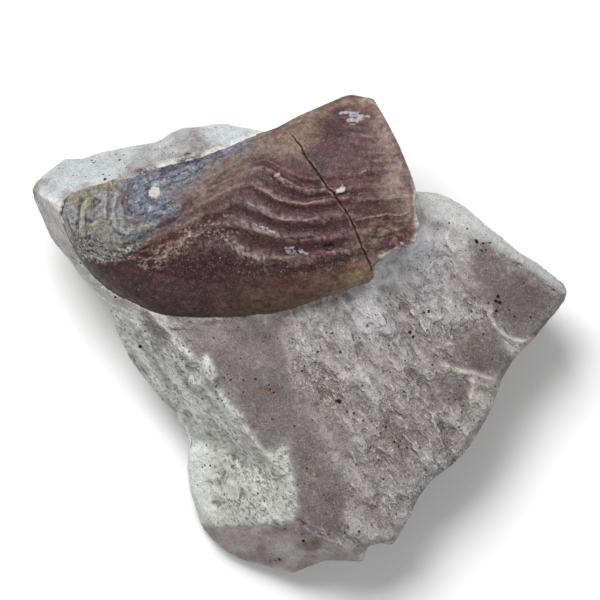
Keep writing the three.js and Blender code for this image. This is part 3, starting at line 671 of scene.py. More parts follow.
def reach(outline, points):
    """Where the lines from the stone's middle through the points meet a closed outline."""
    mx, my = STONE_MIDDLE
    found = np.zeros_like(points)
    for (ax, ay), (bx, by) in zip(outline, outline[1:] + outline[:1]):
        d = points - (mx, my)
        cross = d[:, 0] * (by - ay) - d[:, 1] * (bx - ax)
        along = ((ax - mx) * (by - ay) - (ay - my) * (bx - ax)) / cross
        side = ((ax - mx) * d[:, 1] - (ay - my) * d[:, 0]) / cross
        hit = (along > 0) & (side >= 0) & (side <= 1)
        found[hit] = (mx, my) + d[hit] * along[hit, None]
    return found


def remade(thing, modifier, **settings):
    """Replaces a mesh by what one modifier makes of it."""
    change = thing.modifiers.new("change", modifier)
    for key, value in settings.items():
        setattr(change, key, value)
    name = thing.data.name
    depsgraph = bpy.context.evaluated_depsgraph_get()
    made = bpy.data.meshes.new_from_object(thing.evaluated_get(depsgraph))
    thing.modifiers.clear()
    thing.data = made
    made.name = name


def build_stone():
    """The stone: rings lofted from its middle to its foot, made one skin, carved and coloured."""
    outline = divided(STONE_OUTLINE, OUTLINE_STEP)
    middle = np.array(STONE_MIDDLE, float)
    rings = []
    for ring in range(1, TOP_RINGS + 1):
        out = ring / TOP_RINGS
        place = middle + (outline - middle) * out
        x, y = place.T
        z = stone_form(x, y) - RIM_DROP * step(out, 0.965, 1)
        rings.append(np.column_stack([place, z]))
    rim = rings[-1]
    foot = reach(UNDERSIDE, outline)
    inward, down = np.array(SIDE_PROFILE).T
    parts = np.linspace(0, 1, len(down))
    for ring in range(1, SIDE_RINGS + 1):
        part = ring / SIDE_RINGS
        fall, go = np.interp(part, parts, down), np.interp(part, parts, inward)
        rings.append(np.column_stack([outline + (foot - outline) * go, rim[:, 2] * (1 - fall)]))
    count = len(outline)
    apexes = [[*STONE_MIDDLE, stone_form(*STONE_MIDDLE)], [*STONE_MIDDLE, 0]]
    vertices = np.concatenate(rings + [apexes])
    top_apex, base_apex = len(vertices) - 2, len(vertices) - 1
    faces = []
    last = (len(rings) - 1) * count
    for n in range(count):
        m = (n + 1) % count
        faces.append((top_apex, m, n))
        faces.append((base_apex, last + n, last + m))
        faces += [(r + n, r + m, r + count + m, r + count + n) for r in range(0, last, count)]
    stone = make_mesh("limestone_matrix_surface", vertices, faces)
    remade(stone, "REMESH", mode="VOXEL", voxel_size=VOXEL * MM, adaptivity=0)
    carve_stone(stone)
    thin_out(stone)
    set_vertices(stone, vertices_of(stone))
    colour_stone(stone)
    return stone


def carve_stone(stone):
    """Broken and weathered relief: streaks and scars on top, chipped faces round the sides."""
    p = vertices_of(stone)
    n = normals_of(stone)
    top = step(n[:, 2], 0.3, 0.65)
    base = step(p[:, 2], 0.45, 0.12) * step(n[:, 2], -0.5, -0.8)
    side = (1 - top) * (1 - base)
    w = p[side > 0]
    warped = w + 0.6 * np.column_stack([noise(w, 2.5, seed) for seed in (50, 51, 52)])
    chips = 0.6 * (scallops(warped, 5.5, 60) - 0.55) + 0.5 * facets(warped, 3.4, 61)
    chips += 0.2 * facets(warped, 1.5, 62)
    chips = np.minimum(chips, 0.08) - 0.12 + 0.12 * fractal(w, 0.9, 3, 65)
    chips *= mix(0.2, 1, step(stone_form(w[:, 0], w[:, 1]) - w[:, 2], 0.6, 2.4))
    p[side > 0] += n[side > 0] * (side[side > 0] * chips)[:, None]
    upper = top > 0
    p[upper, 2] += top[upper] * top_relief(p[upper])[0]
    p[upper, 2] = mix(p[upper, 2], hug_valve(p[upper], p[upper, 2]), step(top[upper], 0.2, 0.6))
    x, y, z = p.T
    foot = -depth_in(VALVE_EDGE, x, y)
    by_foot = (x < -9) & (y < 13.4) & (n[:, 2] > 0.12) & (foot < 1) & (foot > -0.12)
    raised = FOOT_RISE * step(foot, 0.8, 0.1) * step(y, 3.2, 5.2) * step(y, 14.6, 12.8)
    raised *= step(x, -14, -15.5)
    z[by_foot] = np.maximum(z[by_foot], (stone_form(x, y) - SUNK + raised)[by_foot])
    z[:] = np.where(base > 0.5, np.maximum(0, z * 0.2), np.maximum(z, 0))
    p[:, :2] = np.clip(p[:, :2], np.min(STONE_OUTLINE, axis=0), np.max(STONE_OUTLINE, axis=0))
    set_vertices(stone, p)


def thin_out(stone):
    """Fewer triangles, taken first from the flat underside and the ground the valve covers."""
    p = vertices_of(stone)
    covered = depth_in(VALVE_EDGE, p[:, 0], p[:, 1]) > COVERED
    hidden = (p[:, 2] < LOWEST_SEEN) | (covered & (p[:, 2] > SEAT_Z - 4))
    group = stone.vertex_groups.new(name="hidden")
    group.add(np.flatnonzero(hidden).tolist(), 1.0, "REPLACE")
    group.add(np.flatnonzero(~hidden).tolist(), KEPT, "REPLACE")
    triangles = sum(len(face.vertices) - 2 for face in stone.data.polygons)
    remade(stone, "DECIMATE", ratio=min(1, STONE_TRIANGLES / triangles),
           use_collapse_triangulate=True, vertex_group="hidden")
    stone.vertex_groups.clear()


def hollows(thing, rounds):
    """How hollow (positive) or raised (negative) the surface is at each vertex, in millimetres."""
    p = vertices_of(thing)
    n = normals_of(thing)
    ends = np.empty(len(thing.data.edges) * 2, int)
    thing.data.edges.foreach_get("vertices", ends)
    a, b = ends.reshape(-1, 2).T
    count = np.bincount(a, minlength=len(p)) + np.bincount(b, minlength=len(p))

    def average(values):
        return (np.bincount(a, values[b], len(p)) + np.bincount(b, values[a], len(p))) / count

    spread = p
    for _ in range(rounds):
        spread = np.column_stack([average(axis) for axis in spread.T])
    return np.sum((spread - p) * n, axis=1)


DARK_SPECKS = [  # dark mineral grains large enough to place one by one: place, radius
    ((-14.6, 0.3), 0.17), ((-17.7, 15.5), 0.13), ((16.1, 9.8), 0.17), ((16, 10), 0.13),
    ((18.05, 4.9), 0.17), ((17.84, 4.46), 0.18), ((18.2, 4.32), 0.17), ((17.9, 3.55), 0.14),
    ((10, 1.6), 0.17), ((10.3, 1.2), 0.15), ((3.6, -4.7), 0.2), ((3.3, -4.65), 0.13),
    ((11.7, 3.5), 0.15), ((11.3, 3.4), 0.12), ((0.3, -17.5), 0.15), ((-1.9, -19.3), 0.14),
    ((4.1, -16.7), 0.12), ((5.4, -16.6), 0.13), ((-16.8, 4.8), 0.12), ((-3.3, -3.3), 0.08),
    ((-2.9, -3.2), 0.07), ((-2, -3.2), 0.08), ((-1.6, -3.4), 0.07), ((-3.7, -2.8), 0.07),
    ((2, -12.2), 0.08), ((2.9, -11), 0.07), ((1.8, -10.9), 0.07), ((4.2, -12.6), 0.08),
    ((9.5, -7.9), 0.07), ((-5.6, 2.1), 0.1), ((8.6, -8.4), 0.13), ((9, -8.8), 0.11),
    ((9.2, -8.3), 0.1), ((23.1, 5.5), 0.13), ((-2.7, -3.6), 0.12), ((-2.4, -3.9), 0.12),
    ((15.2, 2.1), 0.1), ((16.7, 1.4), 0.12), ((-6.6, -2.2), 0.1), ((-6.3, -2.7), 0.12),
    ((-6.9, -2.5), 0.09), ((-3.4, 0.7), 0.1), ((-3.3, 2.2), 0.09), ((-10, 2.6), 0.09),
    ((-6.9, 2.7), 0.09), ((-5.4, -0.8), 0.1), ((0.6, -10.8), 0.1), ((1.5, -11.5), 0.09),
    ((2.7, -11.5), 0.09), ((3.3, -12.3), 0.1), ((-0.2, -12.3), 0.09), ((0.4, -12.2), 0.09),
    ((4.6, 3), 0.09), ((6.9, 3.2), 0.09), ((8.2, 5.1), 0.1), ((2.4, 1.6), 0.09),
    ((12.6, 6.8), 0.09),
]
SMOOTH_GREY = linear(111, 103, 102)
LILAC = linear(144, 139, 142)
ROUGH_LOW = linear(127, 117, 113)
ROUGH_HIGH = linear(188, 184, 182)
COOL_LIGHT = linear(186, 186, 190)
LUMP_BROWN = linear(124, 116, 112)
LEFT_CHALK = linear(202, 202, 197)
CHALK = linear(184, 186, 178)
CLEAN_CHALK = linear(203, 208, 202)
LEDGE_CHALK = linear(176, 181, 183)
BEVEL_CHALK_AND_PAINTED_LIGHT = linear(174, 176, 173)
CREAM = linear(214, 211, 200)
WHITE_CHALK_AND_PAINTED_LIGHT = linear(232, 232, 236)
BROKEN_PALE = linear(190, 185, 176)
RUST = linear(102, 78, 54)
DARK_RUST = linear(72, 46, 38)
STAINS = [  # place, half length, half width, turn, strength
    ((1, -17.9), 1.5, 0.7, 10, 0.6), ((-1.9, -19.4), 0.9, 0.5, 0, 0.25),
    ((-2.8, -3.6), 1.2, 0.4, 0, 0.95), ((-24.2, 14.6), 0.8, 1.7, -20, 0.65),
    ((-23.3, 15.3), 0.9, 0.5, 20, 0.5), ((-21.2, 14), 0.7, 0.9, 0, 0.35),
    ((-22.4, 14.9), 0.5, 0.7, 0, 0.25), ((-10.3, -5.9), 0.7, 0.4, -40, 0.6),
    ((4.2, -12), 1.9, 0.7, -35, 0.35), ((1.2, -11.2), 1.6, 0.6, 0, 0.3),
    ((15.9, 0.5), 1.1, 0.8, 0, 0.3), ((8.9, -8.4), 0.8, 0.4, -30, 0.35),
    ((1, -19), 1.2, 0.3, 0, 0.3),
]
PALE_PATCHES = [  # paler places of the smooth ground, given like the stains
    ((-8.2, 1.2), 3, 1.7, 0, 0.7), ((-4.6, -0.4), 2.6, 1.5, -20, 0.45),
    ((-6.6, -3.8), 1.3, 2.4, 20, 0.4), ((-1.2, 0.6), 1.6, 2.4, 30, 0.5),
    ((0, -5.4), 1.5, 2.4, 30, 0.4), ((1.4, -13.6), 2.2, 1.0, -30, 0.3),
    ((18.6, 6.2), 3, 0.7, -35, 0.25), ((-5.8, -18.4), 2.2, 0.8, -15, 0.8),
    ((-2.6, -17.4), 1.6, 0.6, 0, 0.5), ((4.2, -19), 1.6, 0.7, 20, 0.5),
]
NO_SPECK = 2.0                 # a distance at which a speck doesn't show
RUST_LINE = [(-0.1, -15.5), (1.1, -16.4), (2, -16.9), (2.7, -16.8), (2.7, -16.5)]
EDGE_LINE = [(16.5, 9.6), (18.2, 8.8), (20.9, 7.1), (23.9, 5)]


def spot(x, y, at, half_length, half_width, turn):
    """1 at the middle of an oval spot turned by degrees, falling through 0 at its rim."""
    c, s = math.cos(math.radians(turn)), math.sin(math.radians(turn))
    dx, dy = x - at[0], y - at[1]
    return 1 - np.hypot((dx * c + dy * s) / half_length, (dy * c - dx * s) / half_width)


def colour_stone(stone):
    """Stores the stone's colours, and where it is rough, porous and specked."""
    p = vertices_of(stone)
    n = normals_of(stone)
    x, y, z = p.T
    q = flat(x, y)
    _, rough, chalky, light, streaky = top_relief(p)
    across = across_streaks(x, y)
    streaks = flat(across, 0.2 * x - 0.29 * y)
    fine = hollows(stone, 2)
    broad = hollows(stone, 14)
    # broad hollows darker and raised ground paler: partly dust on the rises, partly painted shade
    # in the hollows and painted highlight on the rises
    raised = np.clip(0.54 - 0.9 * broad + 0.2 * noise(p, 3.5, 92) + 0.3 * streaky, 0, 1)

    shades = 1 + 0.14 * fractal(q, 2.6, 4, 99) + 0.1 * noise(streaks, 0.6, 59)
    calm = SMOOTH_GREY * shades[:, None]
    lumpy, streaked = 0.3 * noise(q, 1.2, 95), 0.2 * noise(streaks, 0.5, 57)
    for at, length, width, turn, strength in PALE_PATCHES:
        patch = spot(x, y, at, length, width, turn) + lumpy + streaked
        calm = tinted(calm, LILAC, 0.8 * strength * step(patch, 0, 0.9))
    colour = tinted(calm, tinted(ROUGH_LOW[None], ROUGH_HIGH, raised), np.clip(rough, 0, 1))
    lit = ground(UPPER_LIGHT, q, 1.4, 1.2) * np.clip(-0.05 + 0.7 * raised, 0, 1)
    colour = tinted(colour, COOL_LIGHT, lit)

    grooves = 0.86 + 0.6 * noise(flat(across, 0.11 * x - 0.16 * y), 0.7, 21)
    grooves += 0.25 * noise(streaks, 0.3, 58)
    grooves += 0.22 * noise(q, 1.6, 45)
    grooved = LEFT_CHALK * np.clip(grooves, 0.45, 1.15)[:, None]
    chalk = tinted(grooved, CHALK, ground(LOWER_LEFT_GROUND, q, 1.2, 1.0))
    colour = tinted(colour, chalk, 0.95 * chalky)
    colour = tinted(colour, CLEAN_CHALK, 0.9 * ground(LEFT_STRIP, q))
    colour = tinted(colour, SMOOTH_GREY, 0.85 * ground(SMOOTH_PATCH, q))
    mottle = np.clip(0.5 + 0.9 * fractal(q, 2.2, 3, 98), 0, 1)
    bottom = tinted(calm * (1.5, 1.45, 1.4), ROUGH_HIGH, 0.7 * mottle)
    colour = tinted(colour, bottom, ground(BOTTOM_GROUND, q, 0.3, 0.3))
    uneven = 1 + 0.1 * fractal(p, 1.7, 4, 43) - 0.12 * step(14.5 - z + noise(p, 1.5, 42), 0, 5)
    colour = tinted(colour, LEDGE_CHALK * uneven[:, None], ground(LEDGE_GROUND, q))
    for lump in BROWN_LUMPS:
        amount = ground(lump, q, 0.9, 0.4) * np.clip(0.8 + 0.3 * streaky, 0, 0.9)
        colour = tinted(colour, LUMP_BROWN, amount)
    # the bevel's chalk, partly its own tone and partly painted light against the valve's shadow and
    # the bevel's turn away from the light
    colour = tinted(colour, BEVEL_CHALK_AND_PAINTED_LIGHT, ground(BEVEL_GROUND, q, 0.45, 0.35))
    colour = tinted(colour, LEFT_CHALK, ground(RIM_GROUND, q) * 0.7)

    sides = step(n[:, 2], 0.3, 0.05)
    patches = fractal(p, 5, 4, 93) - 1.5 * broad
    warm = mix(0.35, 1, step(x + 2 * noise(p, 4, 44), -6, 2))
    side_tone = tinted(LEFT_CHALK[None] * 0.92, mix(ROUGH_LOW, ROUGH_HIGH, 0.45),
                       np.maximum(step(patches, -0.3, 0.7), 0.75 * warm))
    colour = tinted(colour, side_tone, sides * step(z + 1.8 * noise(p, 2.2, 96), 12, 7))
    for wedge in BROKEN_WEDGES:
        pale = ground(wedge, q, 0.2, 0.16) * np.clip(0.8 + 0.3 * streaky, 0.3, 1)
        colour = tinted(colour, BROKEN_PALE, 0.9 * pale)
    colour = tinted(colour, CREAM, light * 0.2)

    # pale where the stone meets the valve; white next to its broken end, partly the chalk's own
    # white and partly painted light that cancels the valve's cast shadow there
    rim = depth_in(VALVE_EDGE, x, y)
    lower_rim = np.maximum(step(x, 9.6, 10.4) * (y < 14), y < 9)
    thin = np.clip(0.2 + 0.8 * noise(q, 1.1, 97), 0.05, 0.3)
    thin = thin * lower_rim * step(rim + 0.08 * noise(q, 0.5, 97), -0.3, -0.1)
    colour = tinted(colour, CREAM, thin)
    # painted light over the chalk's own white, next to the valve's broken end where the valve casts
    # its shadow
    white_and_painted_light = step(rim + 0.6 * noise(q, 1.1, 91), -3.8, -0.6) * step(x, 4.4, 6.8)
    white_and_painted_light *= 1 - 0.75 * step(y, 10.2, 12.2)
    # painted shade: a greyer spot over a hollow, held back from the white
    greyer = spot(x, y, (8.3, 5.3), 1.9, 1.2, 20) + 0.3 * noise(q, 0.9, 49)
    white_and_painted_light *= 1 - 0.9 * step(greyer, 0, 0.7)
    colour = tinted(colour, WHITE_CHALK_AND_PAINTED_LIGHT, 0.85 * white_and_painted_light)
    upper_rim = by_upper_margin(x, y) * step(x, 2, 0) * step(x, -14.5, -12)
    upper_rim *= step(rim + 0.12 * noise(q, 0.5, 61), -0.4, -0.1)
    patchy = np.clip(0.7 + 0.8 * noise(q, 0.7, 60), 0, 1)
    colour = tinted(colour, CREAM, 0.7 * upper_rim * patchy)

    stain = np.zeros(len(p))
    ragged = 0.25 * noise(q, 0.6, 56)
    for at, length, width, turn, strength in STAINS:
        patch = spot(x, y, at, length, width, turn) + ragged
        stain = np.maximum(stain, strength * step(patch, 0, 0.6))
    stain = np.maximum(stain, 0.5 * step(from_line(EDGE_LINE, x, y)[0], 0.35, 0.05))
    colour = tinted(colour, RUST, np.clip(stain * (0.95 + 0.5 * noise(p, 0.6, 94)), 0, 1))
    rusty = step(from_line(RUST_LINE, *wobbled(q, 0.06, 0.5, (55, 54)))[0], 0.16, 0.04)
    colour = tinted(colour, DARK_RUST, 0.9 * rusty * np.clip(0.8 + noise(q, 0.4, 53), 0, 1))

    # hollows a little darker, and the lower right away from the photo's light
    sunk = np.clip(np.where(fine > 0, 0.5, 1.8) * fine, -0.16, 0.09)
    shade = 1 - sunk - np.clip(0.6 * broad, -0.1, 0.14)
    turned_away = step(0.6 * x - 0.5 * y + 0.8 * noise(q, 4, 64), 0, 13) * step(x, -2, 0)
    shade *= 1.04 - 0.23 * turned_away
    porous = chalky * (1 - 0.9 * ground(LEFT_STRIP, q)) + 0.4 * sides
    away = np.full(len(p), NO_SPECK)
    for (sx, sy), radius in DARK_SPECKS:
        away = np.minimum(away, np.hypot(x - sx, y - sy) - radius)
    store(stone, "tint", colour * shade[:, None])
    store(stone, "rough", np.clip(np.maximum(rough * (1 - 0.6 * chalky), 0.7 * sides), 0, 1))
    store(stone, "porous", np.clip(porous, 0, 1))
    store(stone, "speck", np.where(n[:, 2] > 0, away, NO_SPECK))
    smooth_shaded(stone)


# ---------------------------------------------------------------- the valve's mesh
COLUMNS = 310                  # of the ribbed grid, along the valve
ROWS = 196                     # of the ribbed grid, from the upper margin to the flank
FLANK_ROWS = 40
FLANK_START = 0.42             # angle at which the flank turns over, in radians
WALL_RINGS = 10                # down the plate's thickness
UNDER_RINGS = 5                # inward to the face that rests on the stone
RIB_HEIGHT = 0.32
HALF_RIB_HEIGHT = 0.07         # of the smaller ribs between the ribs, at the right
FINE_LINE_HEIGHT = 0.05
FINE_LINE_GAP = 0.74
OFF_GRID = 20.0                # rib number given to the vertices below the ribbed grid
CRACK_DEPTH = 0.3
BIT_EDGE = 0.45                # over which the edge of a bit of matrix fades


def wave(number, power):
    """1 at whole numbers and 0 half way between them."""
    return (0.5 + 0.5 * np.cos(2 * np.pi * number)) ** power


def rib_height(station, rib, p):
    """Relief of the growth ribs at stations and rib numbers; how far crests; how far troughs."""
    wander = 0.12 * noise(p, 2.4, 21) + 0.07 * noise(p, 0.9, 22)
    number = rib + wander * step(rib, 0.3, 1.5)
    waves = step(station, 6.0, 7.8) * (1 - 0.5 * step(station, 10.2, 11.2))
    lower = step(rib, 3, 5) * (1 - 0.5 * step(station, 6.5, 5) * step(rib, 6, 5))
    lower = np.maximum(lower, 0.8 * step(station, 10, 11.5) * step(rib, 0.8, 2))
    strength = 0.10 + 0.9 * lower * np.maximum(waves, 0.3)
    edges = step(rib, 0, 0.8) * step(LAST_RIB - rib, 0, 0.5)
    uneven = 0.75 + 0.45 * noise(p, 1.6, 23)
    half = step(station, 9.4, 10.4) * step(rib, 1.5, 3.5) * edges
    crest = wave(number, 1.4)
    between = wave(number - 0.5, 2)
    upper = step(station, 10, 11) * step(rib, 5.5, 3.5) * step(rib, 0.3, 0.9)
    upper = upper * np.clip(0.8 + 0.6 * noise(p, 1.5, 24), 0, 1)
    across = p[:, 1] + 0.1 * p[:, 0] + 0.14 * noise(p, 1.8, 25)
    fine_lines = wave(across / FINE_LINE_GAP, 1.5)
    height = RIB_HEIGHT * strength * edges * crest * uneven + HALF_RIB_HEIGHT * half * between
    height += FINE_LINE_HEIGHT * upper * fine_lines
    raised = crest ** 2 * strength * edges + 0.42 * half * between ** 1.5 + 0.6 * upper * fine_lines
    return height, raised, wave(number - 0.5, 1.5) * strength * edges * (1 - 0.8 * half)


def build_valve():
    """The valve: ribbed grid, flank, wall and underside in one skin, weathered and coloured."""
    dense = np.linspace(0, LAST_STATION, 600)
    walk = spline(GROWTH_LINES[5][1], dense)
    length = np.concatenate([[0], np.cumsum(np.hypot(*np.diff(walk, axis=0).T))])
    station = np.interp(np.linspace(0, length[-1], COLUMNS), length, dense)
    rib = np.linspace(0, LAST_RIB, ROWS)
    grid = valve_places(station, rib)
    x, y = grid[..., 0], grid[..., 1]
    s, r = np.meshgrid(station, rib)
    form = vault(x, y)
    p = flat(x, y, form)
    ribs, crests, troughs = rib_height(s.ravel(), r.ravel(), p)
    rounding = 0.45 * step(s, LAST_STATION - 0.35, LAST_STATION) + 0.3 * step(r, 0.6, 0)
    z = form + ribs.reshape(form.shape) - rounding
    top = np.stack([x, y, z], axis=-1)

    foot = spline(FLANK_FOOT, station)
    foot_z = np.minimum(stone_form(foot[:, 0], foot[:, 1]) - 0.4, z[-1] - 1)
    angle = mix(FLANK_START, np.pi / 2, np.linspace(0, 1, FLANK_ROWS + 1)[1:])[:, None]
    out = (np.sin(angle) - math.sin(FLANK_START)) / (1 - math.sin(FLANK_START))
    drop = 1 - np.cos(angle) / math.cos(FLANK_START)
    flank = np.stack([mix(x[-1], foot[:, 0], out), mix(y[-1], foot[:, 1], out),
                      mix(z[-1], foot_z, drop)], axis=-1)
    surface = np.concatenate([top, flank])
    rows, columns = surface.shape[:2]
    index = np.arange(rows * columns).reshape(rows, columns)
    loop = np.concatenate([index[0], index[1:, -1], index[-1, -2::-1], index[-2:0:-1, 0]])
    vertices = surface.reshape(-1, 3)
    edge = vertices[loop]
    free = step(edge[:, 0] + 0.9 * edge[:, 1], 15, 22)
    thick = mix(edge[:, 2] - SEAT_Z - 0.9, 2.6, free)
    low = np.maximum(edge[:, 2] - thick, SEAT_Z + 0.6)
    wall_in = mix(0.02, 0.35, free)
    seat_in = mix(0.3, 3.4, free)
    rings = []
    for part in np.linspace(0, 1, WALL_RINGS + 1)[1:]:
        bulge = 0.075 * free * math.sin(math.pi * part)
        place = towards_spine(edge, wall_in * part - bulge)
        rings.append(np.column_stack([place, mix(edge[:, 2], low, part)]))
    for part in np.linspace(0, 1, UNDER_RINGS + 1)[1:]:
        place = towards_spine(edge, mix(wall_in, seat_in, part))
        rings.append(np.column_stack([place, mix(low, SEAT_Z, part)]))
    count = len(loop)
    skirt = [loop] + [len(vertices) + n * count + np.arange(count) for n in range(len(rings))]
    apex = len(vertices) + len(rings) * count
    vertices = np.concatenate([vertices, *rings, [[-4.5, 11.5, SEAT_Z]]])
    faces = [(index[a, b], index[a + 1, b], index[a + 1, b + 1], index[a, b + 1])
             for a in range(rows - 1) for b in range(columns - 1)]
    for upper, lower in zip(skirt, skirt[1:]):
        faces += list(zip(upper, np.roll(upper, -1), np.roll(lower, -1), lower))
    faces += [(a, b, apex) for a, b in zip(skirt[-1], np.roll(skirt[-1], -1))]
    faces = [tuple(int(v) for v in face) for face in faces]
    valve = make_mesh("aptychus_valve_surface", vertices, faces)
    weather_valve(valve, vertices, s, r, crests, troughs)
    return valve


MAROON = linear(73, 33, 38)
WINE = linear(60, 31, 36)
OLIVE = linear(118, 98, 82)
TAN = linear(158, 138, 126)
BLUE_GREY = linear(108, 116, 130)
GREY_BROWN = linear(112, 98, 90)
NAVY = linear(44, 48, 60)
ASH = linear(134, 134, 131)
YELLOW_OLIVE = linear(124, 115, 90)
DIAGONAL_BROWN = linear(102, 78, 70)
FLANK_DARK = linear(60, 42, 43)
FLANK_OLIVE = linear(98, 76, 60) * (1.1, 1.03, 1.06)
FLANK_END = linear(138, 116, 90)
CREST_PINK = linear(119, 92, 92)
CREST_ASH = linear(150, 138, 133)
PALE_VEIN = linear(160, 138, 130)
WHITE = linear(196, 193, 184)
MATRIX_GREY = linear(142, 139, 142)
DARK_LINE = linear(46, 36, 36)

BROKEN_CORNER = [
    (4.9, 11.2), (6.6, 11.8), (8.3, 11.9), (10, 12.2), (10.7, 10.8), (10, 9.6), (8.8, 9.9),
    (7.6, 8.9), (6.1, 9),
]
VEIN_LINE = [(-14, 7.7), (-12.4, 8.8), (-11.3, 9.6), (-9.8, 10.4), (-8, 11.3), (-6.6, 11.2)]
OLIVE_BAND = [
    (-6, 18.3), (-3.4, 19.8), (0, 21.6), (4.6, 23.4), (7.2, 23.3), (6.4, 22), (3.8, 21.6),
    (2, 20.6), (1.6, 18.4), (0.8, 17), (-1, 16.6), (-2.8, 17), (-4.4, 17.6), (-5.4, 17),
]
BLUE_ZONE = [
    (-16.2, 15.2), (-14.8, 16), (-12.6, 17), (-10.9, 17.4), (-9.3, 17.8), (-7.2, 18.6),
    (-5.4, 19.3), (-4.4, 19.5), (-5.4, 18.4), (-8, 17.3), (-8.8, 16.4), (-9.8, 15.5), (-10.9, 15),
    (-11.5, 14), (-10.6, 13), (-12.2, 11.8), (-14.6, 11.4), (-15.6, 12.3), (-16, 13.7),
]
GREY_ZONE = [
    (-23, 14.2), (-16.6, 16), (-12, 17.6), (-3, 20.6), (-2.6, 18.4), (-4.6, 17.2), (-6.6, 15.9),
    (-8.6, 14.2), (-10.4, 12.7), (-12.6, 11.2), (-14.5, 9.9), (-16.4, 8.6), (-19, 8.6), (-23, 10.5),
]
LEFT_END = [
    (-22, 13.7), (-18.6, 15.1), (-15.6, 16.3), (-16.4, 14.6), (-15.9, 11.7), (-14.5, 11.1),
    (-12.4, 11.6), (-13.4, 10.4), (-15.4, 9), (-16.5, 8.2), (-18.6, 8.1), (-20.6, 9.2),
    (-22.4, 11.2),
]
DIAGONAL = [
    (-13.6, 10.4), (-12.3, 11.6), (-10.5, 12.9), (-7.6, 15.2), (-5, 16.9), (-3.4, 16.7), (-5.4, 15),
    (-7.6, 13.2), (-9.6, 11.4), (-12.3, 10), (-14.5, 8.9), (-16, 8.3), (-15.4, 9.2),
]
MOTTLED = [
    (-15.6, 7.6), (-13, 8.6), (-10, 10.8), (-7.4, 10.6), (-4.6, 9), (-1.8, 8.2), (1.4, 8.4),
    (3.6, 9.4), (6.4, 9.6), (5.6, 7.9), (1.2, 7), (-5.6, 6.4), (-12, 6.8),
]
GRANULAR_RIM = [
    (-21, 10), (-19.5, 10.9), (-17.8, 9.6), (-15.4, 9.4), (-13.8, 10), (-14.6, 8.9), (-16.4, 7.8),
    (-19.2, 7.9),
]
RIGHT_MARGIN = [
    (5.2, 23.4), (7.6, 23.2), (9.4, 18.2), (10.6, 15.2), (11.4, 12), (11.6, 9.6), (9, 9.3),
    (9.4, 11), (8.4, 13.4), (7.4, 14.6), (8, 16.8), (7.4, 18.6), (6.4, 21.6),
]
LOWER_RIGHT = [
    (4.4, 9.4), (6, 11.2), (8.8, 12), (9.6, 11.2), (8.6, 9.8), (7, 8.4), (6.2, 7.6), (4.6, 8.2),
]
PITTED_END = [
    (6, 11), (8.4, 11.6), (10, 12), (11.2, 11.4), (11, 9.6), (9, 9.2), (7.4, 8.8), (6.6, 9.6),
]

